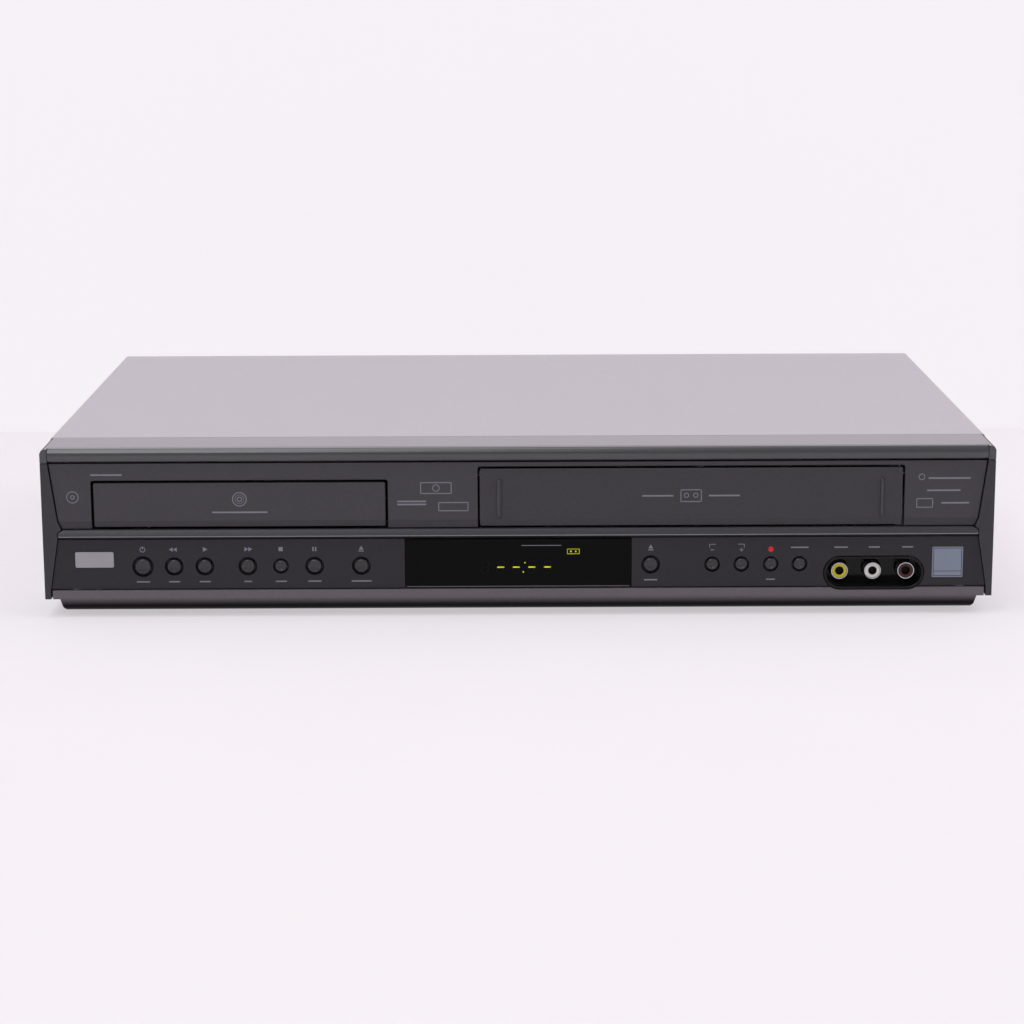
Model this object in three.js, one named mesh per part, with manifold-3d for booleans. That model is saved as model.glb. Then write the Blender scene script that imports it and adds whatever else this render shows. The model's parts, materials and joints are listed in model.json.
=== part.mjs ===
// Disc and video cassette player in one low cabinet. A disc tray opens on the left, a
// cassette goes in behind the door on the right, and keys, display and sockets line the front.
// Millimetres, +Z up. The front faces -Y, and +X runs to the right as seen from the front.
// The origin is on the table, under the middle of the whole part.
import * as THREE from 'three';
import { mergeVertices } from 'three/addons/utils/BufferGeometryUtils.js';
import Module from 'manifold-3d';

const wasm = await Module();
wasm.setup();

// The disc in its tray, and the cassette in its holder
const discRadius = 60;
const discPlay = 0.6;
const trayRim = 2.9;
const cassetteWidth = 188;
const cassettePlay = 1.3;
const trayHalf = discRadius + discPlay + trayRim;

// Cabinet: as wide as its two doors with the spaces beside and between them
const doorOverlap = 2.5;
const discDoorMargin = 23.3;
const doorSpacing = 42.5;
const cassetteDoorMargin = 41.6;
const depth = 275;
const steel = 1;
const moulding = 2.4;
const gap = 0.3;
const overrun = 2;
const discDoorWidth = 2 * (trayHalf + doorOverlap);
const cassetteDoorWidth = cassetteWidth + 2 * cassettePlay;
const width = discDoorMargin + discDoorWidth + doorSpacing + cassetteDoorWidth + cassetteDoorMargin;
const half = width / 2;
const discX = -half + discDoorMargin + discDoorWidth / 2;
const deckX = half - cassetteDoorMargin - cassetteDoorWidth / 2;

// Front bands, from the table upwards
const skirtLift = 2.5;
const skirtHeight = 10.4;
const keyPanelHeight = 23.1;
const railHeight = 4.7;
const doorPanelHeight = 30.7;
const trimHeight = 6.6;
const skirtTop = skirtLift + skirtHeight;
const keyPanelTop = skirtTop + keyPanelHeight;
const railTop = keyPanelTop + railHeight;
const doorPanelTop = railTop + doorPanelHeight;
const height = doorPanelTop + trimHeight;

// How far each face lies behind the foremost plane, which the rail and the trim reach
const cheekSetback = 0.6;
const panelSetback = 1.6;
const keyPanelSetback = 1.9;
const skirtSetback = 0.8;
const panelBack = 4.4;

// Smoothness of round pieces, in sides per turn, and of rounded corners, in steps
const finePeg = 12;
const keySides = 12;
const wheelSides = 28;
const cornerSteps = 3;

// Closed three.js geometries are joined and cut as solids
function toSolid(geometry) {
  const bare = geometry.clone();
  bare.deleteAttribute('normal');
  bare.deleteAttribute('uv');
  const merged = mergeVertices(bare);
  return new wasm.Manifold(new wasm.Mesh({
    numProp: 3,
    vertProperties: merged.attributes.position.array,
    triVerts: new Uint32Array(merged.index.array),
  }));
}

function toGeometry(solid) {
  const mesh = solid.getMesh();
  const geometry = new THREE.BufferGeometry();
  geometry.setAttribute('position', new THREE.BufferAttribute(mesh.vertProperties, 3));
  geometry.setIndex(new THREE.BufferAttribute(mesh.triVerts, 1));
  return geometry;
}

function join(...parts) {
  return toGeometry(parts.map(toSolid).reduce((whole, part) => whole.add(part)));
}

function cut(body, ...tools) {
  return toGeometry(tools.map(toSolid).reduce((rest, tool) => rest.subtract(tool), toSolid(body)));
}

function shared(first, second) {
  return toGeometry(toSolid(first).intersect(toSolid(second)));
}

// Box between two values on each axis
function block(x0, x1, y0, y1, z0, z1) {
  const box = new THREE.BoxGeometry(x1 - x0, y1 - y0, z1 - z0);
  return box.translate((x0 + x1) / 2, (y0 + y1) / 2, (z0 + z1) / 2);
}

// Boxes on both sides of the middle, between an inner and an outer distance from it
function bothSides(inner, outer, ...rest) {
  return [-1, 1].map((side) => {
    const [x0, x1] = [side * inner, side * outer].sort((a, b) => a - b);
    return block(x0, x1, ...rest);
  });
}

// Closed outline through points, each a pair in the plane it is drawn in
function outline(points) {
  return new THREE.Shape(points.map(([u, v]) => new THREE.Vector2(u, v)));
}

// Rectangle with round corners
function roundedOutline(u0, u1, v0, v1, radius) {
  const shape = new THREE.Shape();
  const quarter = Math.PI / 2;
  shape.absarc(u1 - radius, v0 + radius, radius, -quarter, 0);
  shape.absarc(u1 - radius, v1 - radius, radius, 0, quarter);
  shape.absarc(u0 + radius, v1 - radius, radius, quarter, 2 * quarter);
  shape.absarc(u0 + radius, v0 + radius, radius, 2 * quarter, 3 * quarter);
  return shape;
}

function extruded(shape, length, steps = cornerSteps) {
  return new THREE.ExtrudeGeometry(shape, { depth: length, bevelEnabled: false, curveSegments: steps });
}

// An outline seen from the front, in x and z, through from y0 to y1
function plate(shape, y0, y1, steps) {
  return extruded(shape, y1 - y0, steps).rotateX(Math.PI / 2).translate(0, y1, 0);
}

// An outline seen from above, in x and y, through from z0 to z1
function slab(shape, z0, z1, steps) {
  return extruded(shape, z1 - z0, steps).translate(0, 0, z0);
}

// A section seen from the side, in y and z, through from x0 to x1
function strip(shape, x0, x1, steps) {
  const alongX = new THREE.Matrix4().makeBasis(
    new THREE.Vector3(0, 1, 0),
    new THREE.Vector3(0, 0, 1),
    new THREE.Vector3(1, 0, 0),
  );
  return extruded(shape, x1 - x0, steps).applyMatrix4(alongX).translate(x0, 0, 0);
}

// Round rods along x, y and z
function rodX(y, z, radius, x0, x1, sides = finePeg) {
  const rod = new THREE.CylinderGeometry(radius, radius, x1 - x0, sides);
  return rod.rotateZ(-Math.PI / 2).translate((x0 + x1) / 2, y, z);
}

function rodY(x, z, radius, y0, y1, sides = finePeg) {
  const rod = new THREE.CylinderGeometry(radius, radius, y1 - y0, sides);
  return rod.translate(x, (y0 + y1) / 2, z);
}

function rodZ(x, y, radius, z0, z1, sides = finePeg) {
  const rod = new THREE.CylinderGeometry(radius, radius, z1 - z0, sides);
  return rod.rotateX(Math.PI / 2).translate(x, y, (z0 + z1) / 2);
}

// A piece turned about y, its profile given as radius and place along y from front to back
function turnedY(profile, sides = keySides) {
  return new THREE.LatheGeometry(profile.map(([r, y]) => new THREE.Vector2(r, y)), sides);
}

// A piece turned about z, its profile given as radius and height from the bottom up
function turnedZ(profile, sides = wheelSides) {
  return turnedY(profile, sides).rotateX(Math.PI / 2);
}

// Finishes: colour, roughness and metalness
const paintedSteel = ['#c4bdc6', 0.42, 0.15];
const plainSteel = ['#b9bcc0', 0.35, 0.9];
const darkMoulding = ['#464547', 0.5, 0];
const keyMoulding = ['#3a393f', 0.45, 0];
const blackGloss = ['#121210', 0.12, 0];
const greyGloss = ['#77777b', 0.18, 0.1];
const blackPlastic = ['#1d1d1f', 0.55, 0];
const whitePlastic = ['#dcdcd6', 0.45, 0];
const circuitBoard = ['#2c5a3c', 0.5, 0];
const polishedMetal = ['#d2d4d8', 0.15, 1];
const yellowMoulding = ['#d8cc20', 0.4, 0];
const whiteMoulding = ['#e6e4dc', 0.4, 0];
const redMoulding = ['#8a1f1c', 0.4, 0];
const rubber = ['#1a1a1a', 0.9, 0];

const player = new THREE.Group();
const cabinet = new THREE.Group();
player.add(cabinet);

function add(parent, name, geometry, [color, roughness, metalness], place = [0, 0, 0]) {
  const mesh = new THREE.Mesh(geometry, new THREE.MeshStandardMaterial({ color, roughness, metalness }));
  mesh.name = name;
  mesh.position.set(...place);
  parent.add(mesh);
  return mesh;
}

// Front frame: two cheeks, the strip of top behind the front edge, and the skirt, in one moulding.
// The inner line of each cheek is a shallow chevron, widest beside the rail.
const cheekAtBands = 3.5;
const cheekAtCrease = 7;
const cheekAtFoot = 8.7;
const cheekAtRail = 6.8;
const cheekAtSkirt = 3;
const cheekLift = 6.2;
const cheekCorner = 2;
const returnDepth = 29;
const postReach = 12;
const skirtThickness = 2.8;
const skirtRound = 5;
const skirtDepth = 18;
const skirtInset = 3.2;
const skirtSlant = 1.5;
const bandEnd = half - cheekAtBands;
const creaseEnd = half - cheekAtCrease;
const panelFootEnd = half - cheekAtFoot;
const railEnd = half - cheekAtRail;
const keyPanelEnd = half - cheekAtSkirt;
const creaseHeight = 4.1;
const creaseZ = railTop + creaseHeight;
const panelBottom = railTop + gap;
const postFront = panelBack + gap;
const postBack = postFront + moulding;
const postInner = half - postReach;
const cheekBottom = skirtLift + cheekLift;

function cheekOutline(side) {
  const inner = (reach) => side * (reach + gap);
  const outer = side * half;
  return outline([
    [outer, cheekBottom],
    [outer, height - cheekCorner],
    [outer - side * cheekCorner / 3, height - cheekCorner / 3],
    [outer - side * cheekCorner, height],
    [inner(bandEnd), height],
    [inner(bandEnd), doorPanelTop],
    [inner(creaseEnd), creaseZ],
    [inner(panelFootEnd), panelBottom],
    [inner(railEnd), railTop - railHeight / 4],
    [inner(railEnd), keyPanelTop],
    [inner(keyPanelEnd), skirtTop],
    [inner(keyPanelEnd), cheekBottom],
  ]);
}

// The side wall of a cheek, with the corner of the cheek itself
function cheekWallOutline(side) {
  const outer = side * half;
  const inner = outer - side * moulding;
  return outline([
    [outer, cheekBottom],
    [outer, height - cheekCorner],
    [outer - side * cheekCorner / 3, height - cheekCorner / 3],
    [outer - side * cheekCorner, height],
    [inner, height],
    [inner, cheekBottom],
  ]);
}

const skirtSection = outline([
  [skirtSetback, skirtTop - gap],
  [skirtSetback, skirtLift + skirtRound],
  [skirtSetback + skirtRound / 4, skirtLift + skirtRound / 3],
  [skirtSetback + skirtRound, skirtLift],
  [skirtDepth, skirtLift],
  [skirtDepth, skirtLift + skirtThickness],
  [skirtSetback + skirtRound, skirtLift + skirtThickness],
  [skirtSetback + skirtThickness, skirtLift + skirtRound],
  [skirtSetback + skirtThickness, skirtTop - gap],
]);

// The skirt as seen from the front: below the cheeks its ends step in and slant down
const skirtEnd = bandEnd - skirtInset;
const skirtFoot = skirtEnd - skirtSlant;
const skirtOutline = outline([
  [-bandEnd, skirtTop],
  [-bandEnd, cheekBottom],
  [-skirtEnd, cheekBottom],
  [-skirtFoot, skirtLift],
  [skirtFoot, skirtLift],
  [skirtEnd, cheekBottom],
  [bandEnd, cheekBottom],
  [bandEnd, skirtTop],
]);

// The sockets' recess in the key panel, which dips into the skirt
const socketPitch = 15.1;
const socketRoom = 7.6;
const socketDip = 1.2;
const recessMargin = 27.9;
const recessHalf = socketPitch + socketRoom;
const socketX = keyPanelEnd - recessMargin - recessHalf;
const socketZ = skirtTop + socketRoom - socketDip;

const frontFrame = cut(
  join(
    shared(strip(skirtSection, -bandEnd, bandEnd), plate(skirtOutline, 0, skirtDepth)),
    block(-half + cheekCorner, half - cheekCorner, postFront, returnDepth, height - moulding, height),
    ...bothSides(postInner, half - moulding / 2, postFront, postBack, cheekBottom, height - moulding / 2),
    ...bothSides(
      postInner, skirtFoot, postFront, postBack, skirtLift + skirtThickness / 2, cheekBottom + moulding,
    ),
    ...[-1, 1].flatMap((side) => [
      plate(cheekOutline(side), cheekSetback, postFront + gap),
      plate(cheekWallOutline(side), cheekSetback, returnDepth),
    ]),
  ),
  plate(roundedOutline(
    socketX - recessHalf - gap, socketX + recessHalf + gap,
    socketZ - socketRoom - gap, socketZ + socketRoom + gap, socketRoom + gap,
  ), 0, skirtDepth / 2, wheelSides / 4),
);
add(cabinet, 'front_frame', frontFrame, darkMoulding);

// Top trim: a glossy strip with a rounded face
const trimRound = 2.2;
const trimReveal = 0.3;
const trimSection = outline([
  [trimRound, doorPanelTop + trimReveal],
  [trimRound / 4, doorPanelTop + trimHeight / 4],
  [0, doorPanelTop + trimHeight / 2],
  [trimRound / 4, height - trimHeight / 5],
  [trimRound, height],
  [panelBack, height],
  [panelBack, doorPanelTop + trimReveal],
]);
add(cabinet, 'top_trim', strip(trimSection, -bandEnd, bandEnd), greyGloss);

// Door panel: the upper front panel. A crease runs along it and both doors, and below it the
// face leans back. The disc door closes the left opening and the cassette door the right one.
const creaseLean = 0.5;
const doorSeam = 0.8;
const doorThickness = 2.2;
const discDoorHeight = 20.6;
const cassetteDoorHeight = 26.4;
const doorCorner = 1;
const doorBottom = panelBottom + doorSeam;
const discDoorTop = doorBottom + discDoorHeight;
const cassetteDoorTop = doorBottom + cassetteDoorHeight;
const doorBack = panelSetback + doorThickness;

// The leaning face of panel and doors, between two heights and as deep as the piece
function creasedSection(bottom, top, back) {
  return outline([
    [panelSetback, top],
    [panelSetback, creaseZ],
    [panelSetback + creaseLean, bottom],
    [back, bottom],
    [back, top],
  ]);
}

// An opening that is open downwards, so that a door's lower edge meets the rail
function doorOpening(centre, doorWidth, doorTop) {
  const reach = doorWidth / 2 + doorSeam;
  return plate(roundedOutline(
    centre - reach, centre + reach, panelBottom - doorCorner - overrun, doorTop + doorSeam, doorCorner,
  ), 0, panelBack + overrun);
}

const doorPanelEdge = outline([
  [-bandEnd, doorPanelTop],
  [-creaseEnd, creaseZ],
  [-panelFootEnd, panelBottom],
  [panelFootEnd, panelBottom],
  [creaseEnd, creaseZ],
  [bandEnd, doorPanelTop],
]);

// The cassette door turns on a pin at each end, just below its upper edge
const hingeDrop = 3;
const hingePin = 0.6;
const hingeReach = 1.4;
const hingeY = panelSetback + doorThickness / 2;
const hingeZ = cassetteDoorTop - hingeDrop;
const pinEnd = cassetteDoorWidth / 2 + doorSeam + hingeReach;
const doorPanel = cut(
  shared(
    plate(doorPanelEdge, 0, panelBack + overrun),
    strip(creasedSection(panelBottom, doorPanelTop, panelBack), -half, half),
  ),
  doorOpening(discX, discDoorWidth, discDoorTop),
  doorOpening(deckX, cassetteDoorWidth, cassetteDoorTop),
  rodX(hingeY, hingeZ, hingePin + gap, deckX - pinEnd - gap, deckX + pinEnd + gap),
);
add(cabinet, 'door_panel', doorPanel, darkMoulding);

// Cassette door, with a slim rib near each end
const ribWidth = 1.7;
const ribHeight = 17.6;
const ribProud = 0.4;
const ribInset = 9;
const doorLeaf = (centre, doorWidth, doorTop) => shared(
  plate(roundedOutline(
    centre - doorWidth / 2, centre + doorWidth / 2, doorBottom, doorTop, doorCorner,
  ), 0, doorBack + overrun),
  strip(creasedSection(doorBottom, doorTop, doorBack), -half, half),
);
const doorRibs = [-1, 1].map((side) => {
  const x = deckX + side * (cassetteDoorWidth / 2 - ribInset);
  const z = creaseZ + doorSeam;
  return block(x - ribWidth / 2, x + ribWidth / 2, panelSetback - ribProud, hingeY, z, z + ribHeight);
});
const cassetteDoor = join(
  doorLeaf(deckX, cassetteDoorWidth, cassetteDoorTop),
  rodX(hingeY, hingeZ, hingePin, deckX - pinEnd, deckX + pinEnd),
  ...doorRibs,
);
add(cabinet, 'cassette_door', cassetteDoor, darkMoulding);

// Disc door, which rides on the front of the tray
add(cabinet, 'disc_door', doorLeaf(discX, discDoorWidth, discDoorTop), darkMoulding);

// Middle rail, with a ridge along it below its middle
const railShelf = 1.6;
const railLean = 1;
const ridgeZ = keyPanelTop + railHeight / 3;
const railSection = outline([
  [railShelf, keyPanelTop + gap],
  [0, ridgeZ],
  [railLean, railTop - railShelf / 4],
  [railShelf, railTop],
  [panelBack, railTop],
  [panelBack, keyPanelTop + gap],
]);
const railEdge = outline([
  [-railEnd, keyPanelTop],
  [railEnd, keyPanelTop],
  [railEnd, railTop - railHeight / 4],
  [railEnd - railHeight / 2, railTop],
  [-railEnd + railHeight / 2, railTop],
  [-railEnd, railTop - railHeight / 4],
]);
add(cabinet, 'middle_rail', shared(
  strip(railSection, -half, half),
  plate(railEdge, -overrun, panelBack + overrun),
), darkMoulding);

// Keys: each a turned cap with a retaining flange behind the panel and a stem that works its switch.
// Places are shares of the panel on either side of the display window: to its left, below zero, as far
// as the panel's end, and to its right as far as the sockets' recess.
const windowWidth = 102.4;
const windowEnd = windowWidth / 2;
const leftRun = keyPanelEnd - windowEnd;
const rightRun = socketX - recessHalf - windowEnd;
const besideWindow = (share) => Math.sign(share) * windowEnd + share * (share < 0 ? leftRun : rightRun);
const keyZ = 23.5;
const keyTravel = 0.8;
const keyProud = 0.5;
const keyDish = 0.5;
const keyCapRound = 0.4;
const keyFlange = 0.8;
const keyStem = 1.5;
const keyStemLength = 4.5;
const wellDepth = 1.6;
const powerCap = 3.65;
const powerWell = 4.7;
const largeCap = 3.2;
const largeWell = 4.1;
const smallCap = 2.75;
const smallWell = 3.4;
const powerKey = { cap: powerCap, well: powerWell };
const largeKey = { cap: largeCap, well: largeWell };
const smallKey = { cap: smallCap, well: smallWell };
const keys = {
  power_key: powerKey,
  rewind_key: largeKey,
  play_key: largeKey,
  forward_key: largeKey,
  stop_key: smallKey,
  pause_key: largeKey,
  tray_key: largeKey,
  eject_key: largeKey,
  tracking_down_key: smallKey,
  tracking_up_key: smallKey,
  record_key: smallKey,
  source_key: smallKey,
};
const keyPlaceShares = {
  power_key: -0.7405,
  rewind_key: -0.6524,
  play_key: -0.5659,
  forward_key: -0.4445,
  stop_key: -0.3511,
  pause_key: -0.2562,
  tray_key: -0.1243,
  eject_key: 0.1017,
  tracking_down_key: 0.4206,
  tracking_up_key: 0.572,
  record_key: 0.724,
  source_key: 0.8731,
};
const keyFront = keyPanelSetback - keyProud;
const flangeFront = panelBack + gap;
const stemEnd = flangeFront + keyFlange + keyStemLength;
for (const [name, { cap }] of Object.entries(keys)) {
  const key = turnedY([
    [0, stemEnd],
    [keyStem, stemEnd],
    [keyStem, flangeFront + keyFlange],
    [cap + gap + keyFlange, flangeFront + keyFlange],
    [cap + gap + keyFlange, flangeFront],
    [cap, flangeFront],
    [cap, keyFront + keyCapRound],
    [cap - keyCapRound, keyFront],
    [0, keyFront + keyDish],
  ].reverse());
  add(cabinet, name, key, darkMoulding, [besideWindow(keyPlaceShares[name]), 0, keyZ]);
}

// Key panel: wells for the keys, a pocket and an opening for the display, and the socket recess
const windowThickness = 1.4;
const windowShelf = 5;
const bossRadius = 2;
const bossPlaceShares = [-0.5106, -0.0159, 0.0294, 0.7982];
const bossZ = 17;
const keyPanelBottom = skirtTop + gap;
const boardThickness = 1.6;
const switchHeight = 3.4;
const switchFront = stemEnd + keyTravel + gap;
const frontBoardY = switchFront + switchHeight;
const windowBack = keyPanelSetback + windowThickness;
const keyPanelEdge = outline([
  [-keyPanelEnd, keyPanelBottom],
  [keyPanelEnd, keyPanelBottom],
  [railEnd, keyPanelTop],
  [-railEnd, keyPanelTop],
]);
const wells = Object.entries(keys).map(([name, { cap, well }]) => {
  const reach = keyPanelSetback + wellDepth;
  return turnedY([
    [0, 0],
    [well, 0],
    [well, reach],
    [cap + gap, reach],
    [cap + gap, panelBack + overrun],
    [0, panelBack + overrun],
  ]).translate(besideWindow(keyPlaceShares[name]), 0, keyZ);
});
const socketRecess = (radius, y0, y1) => plate(roundedOutline(
  socketX - socketPitch - radius, socketX + socketPitch + radius,
  socketZ - radius, socketZ + radius, radius,
), y0, y1, wheelSides / 4);
const panelBosses = bossPlaceShares.map((share) => (
  rodY(besideWindow(share), bossZ, bossRadius, panelBack - gap, frontBoardY - gap, finePeg)
));
const keyPanel = join(cut(
  plate(keyPanelEdge, keyPanelSetback, panelBack),
  ...wells,
  block(-windowEnd - gap, windowEnd + gap, 0, windowBack + gap, 0, height),
  block(
    -windowEnd + windowShelf, windowEnd - windowShelf, 0, panelBack + overrun,
    keyPanelBottom + windowShelf / 2, keyPanelTop - windowShelf / 2,
  ),
  socketRecess(socketRoom + gap, 0, panelBack + overrun),
), ...panelBosses);
add(cabinet, 'key_panel', keyPanel, keyMoulding);

// Display window and the display tube behind it
const tubeWidth = 84;
const tubeHeight = 15;
const tubeFrontGap = 1.6;
add(cabinet, 'display_window', plate(roundedOutline(
  -windowEnd, windowEnd, keyPanelBottom, keyPanelTop - gap, gap,
), keyPanelSetback, windowBack, 1), blackGloss);
const displayZ = (keyPanelBottom + keyPanelTop) / 2;
add(cabinet, 'display_tube', plate(roundedOutline(
  -tubeWidth / 2, tubeWidth / 2, displayZ - tubeHeight / 2, displayZ + tubeHeight / 2, gap,
), panelBack + tubeFrontGap, frontBoardY - gap, 1), blackGloss);

// Front board: a switch behind each key
const boardEnd = 6;
const switchHalf = 2.6;
const boardFoot = skirtLift + skirtThickness + boardEnd;
const switches = Object.keys(keys).map((name) => {
  const x = besideWindow(keyPlaceShares[name]);
  return block(
    x - switchHalf, x + switchHalf, switchFront, frontBoardY + boardThickness / 2,
    keyZ - switchHalf, keyZ + switchHalf,
  );
});
add(cabinet, 'front_board', join(
  block(
    besideWindow(keyPlaceShares.power_key) - boardEnd, besideWindow(keyPlaceShares.source_key) + boardEnd,
    frontBoardY, frontBoardY + boardThickness, boardFoot, keyPanelTop - bossRadius,
  ),
  ...switches,
), circuitBoard);

// Socket plate: a glossy cup, with the three sockets standing on its floor
const cupDepth = 12.5;
const cupWall = 1.2;
const socketRadius = 4.1;
const socketBore = 1.6;
const socketBoreDepth = 9;
const socketStand = 7.6;
const socketTail = 7;
const cupFloor = keyPanelSetback + cupDepth - cupWall;
const cupBack = keyPanelSetback + cupDepth;
const socketPlaces = [-socketPitch, 0, socketPitch];
const socketFront = cupFloor - socketStand;
add(cabinet, 'socket_plate', cut(
  socketRecess(socketRoom, keyPanelSetback - gap, cupBack),
  socketRecess(socketRoom - cupWall, 0, cupFloor),
  ...socketPlaces.map((x) => (
    rodY(socketX + x, socketZ, socketRadius + gap, 0, cupBack + overrun, keySides)
  )),
), blackGloss);
const frontSockets = {
  front_socket_yellow: yellowMoulding,
  front_socket_white: whiteMoulding,
  front_socket_red: redMoulding,
};
Object.entries(frontSockets).forEach(([name, finish], index) => {
  const socket = turnedY([
    [0, socketFront + socketBoreDepth],
    [socketBore, socketFront + socketBoreDepth],
    [socketBore, socketFront],
    [socketRadius, socketFront],
    [socketRadius, cupBack + socketTail],
    [0, cupBack + socketTail],
  ]);
  add(cabinet, name, socket, finish, [socketX + socketPlaces[index], 0, socketZ]);
});

// Chassis base: a folded steel pan with standoffs for the boards and both mechanisms
const coverSink = 0.1;
const flangeHeight = 16;
const boardLift = 4.4;
const standoff = 2.5;
const column = 3;
const standoffSides = 8;
const baseFront = 12;
const slotWidth = 3;
const baseBottom = skirtLift + skirtThickness + gap;
const baseTop = baseBottom + steel;
const coverOuter = half - coverSink;
const coverInner = coverOuter - steel;
const baseOuter = coverInner - gap;
const coverFront = returnDepth + gap;
const rearPanelOuter = depth - steel - gap;
const rearPanelInner = rearPanelOuter - steel;
const baseRear = rearPanelInner - gap;
const boardBottom = baseTop + boardLift;
const boardTop = boardBottom + boardThickness;

// Disc tray, loader frame and cassette deck: what the standoffs have to reach
const wellMargin = 11;
const trayTail = 32.8;
const trayStop = 1.9;
const traySideRoom = 4.5;
const loaderWall = 2;
const loaderFront = 9;
const loaderFloor = 36;
const loaderFootInset = 4;
const loaderFootBack = 11;
const carriageSheet = 0.9;
const deckSheet = 1.2;
const deckFront = 33;
const deckRearMargin = 26;
const deckFloor = 15;
const deckFootInset = 7;
const trayFront = doorBack + gap;
const discY = trayFront + wellMargin + discRadius + discPlay;
const trayRear = discY + discRadius + discPlay + trayTail;
const loaderHalf = trayHalf + traySideRoom + loaderWall;
const loaderRear = trayRear + trayStop + loaderWall;
const deckRear = depth - deckRearMargin;
const deckHalf = cassetteWidth / 2 + 2 * carriageSheet + deckSheet + 2 * gap;
const loaderFeet = [-1, 1].flatMap((side) => [loaderFront, loaderRear].map((y, index) => [
  discX + side * (loaderHalf - loaderFootInset), y + (index ? -1 : 1) * loaderFootBack,
]));
const deckFeet = [-1, 1].flatMap((side) => [deckFront, deckRear].map((y, index) => [
  deckX + side * (deckHalf - deckFootInset), y + (index ? -1 : 1) * deckFootInset,
]));

// Boards under the loader and in the room behind it, each on four standoffs near its corners
const mainBoardHalf = 58;
const mainBoardFront = 24;
const supplyHalf = 66;
const supplyRoomShare = 0.72;
const boardCorner = 6;
const mainBoard = {
  x0: discX - mainBoardHalf,
  x1: discX + mainBoardHalf,
  y0: mainBoardFront,
  y1: loaderRear - 2 * boardCorner,
};
const supplyBoard = {
  x0: discX - supplyHalf,
  x1: discX + supplyHalf,
  y0: baseRear - boardCorner - supplyRoomShare * (baseRear - loaderRear),
  y1: baseRear - boardCorner,
};
const boardFeet = [mainBoard, supplyBoard].flatMap(({ x0, x1, y0, y1 }) => (
  [x0 + boardCorner, x1 - boardCorner].flatMap((x) => (
    [y0 + boardCorner, y1 - boardCorner].map((y) => [x, y])
  ))
));
const stand = ([x, y], radius, top) => rodZ(x, y, radius, baseTop - gap, top - gap, standoffSides);
const baseSlots = 6;
const baseSlotLengthShare = 0.3;
const chassisBase = join(
  cut(
    join(
      block(-baseOuter, baseOuter, coverFront + gap, baseRear, baseBottom, baseTop),
      block(-postInner, postInner, baseFront, coverFront + steel, baseBottom, baseTop),
    ),
    ...Array.from({ length: baseSlots }, (_, index) => {
      const x = deckX - deckHalf / 2 + index * deckHalf / baseSlots;
      const reach = depth * baseSlotLengthShare / 2;
      return block(x, x + slotWidth, depth / 2 - reach, depth / 2 + reach, 0, height);
    }),
  ),
  block(-baseOuter, -baseOuter + steel, coverFront + gap, baseRear, baseBottom, baseBottom + flangeHeight),
  block(baseOuter - steel, baseOuter, coverFront + gap, baseRear, baseBottom, baseBottom + flangeHeight),
  ...boardFeet.map((place) => stand(place, standoff, boardBottom)),
  ...loaderFeet.map((place) => stand(place, column, loaderFloor)),
  ...deckFeet.map((place) => stand(place, column, deckFloor)),
);
add(cabinet, 'chassis_base', chassisBase, plainSteel);

// Top cover, folded down both sides, with a lip over the rear panel and slots in both sides
const coverBend = 1;
const lipHeight = 12;
const screwHole = 1.9;
const sideSlots = 10;
const sideSlotPitch = 9;
const sideSlotHeight = 30;
const sideSlotCentreShare = 0.62;
const coverTop = height - coverSink;
const screwZ = coverTop - lipHeight / 2;
const screwPlaceShares = [-0.88, 0, 0.88];
const coverSection = outline([
  [-coverOuter, cheekBottom],
  [-coverInner, cheekBottom],
  [-coverInner, coverTop - steel - coverBend],
  [-coverInner + coverBend, coverTop - steel],
  [coverInner - coverBend, coverTop - steel],
  [coverInner, coverTop - steel - coverBend],
  [coverInner, cheekBottom],
  [coverOuter, cheekBottom],
  [coverOuter, coverTop - coverBend],
  [coverOuter - coverBend / 3, coverTop - coverBend / 3],
  [coverOuter - coverBend, coverTop],
  [-coverOuter + coverBend, coverTop],
  [-coverOuter + coverBend / 3, coverTop - coverBend / 3],
  [-coverOuter, coverTop - coverBend],
]);
const slotRow = (sideSlots - 1) * sideSlotPitch;
const slotBottom = (cheekBottom + coverTop - sideSlotHeight) / 2;
add(cabinet, 'top_cover', cut(
  join(
    plate(coverSection, coverFront, depth),
    block(
      -coverOuter + coverBend, coverOuter - coverBend, depth - steel, depth,
      coverTop - lipHeight, coverTop - steel / 2,
    ),
  ),
  ...Array.from({ length: sideSlots }, (_, index) => {
    const y = depth * sideSlotCentreShare - slotRow / 2 + index * sideSlotPitch;
    return block(-half, half, y, y + slotWidth, slotBottom, slotBottom + sideSlotHeight);
  }),
  ...screwPlaceShares.map((share) => (
    rodY(share * half, screwZ, screwHole, depth - overrun, depth + overrun)
  )),
), paintedSteel);

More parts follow.
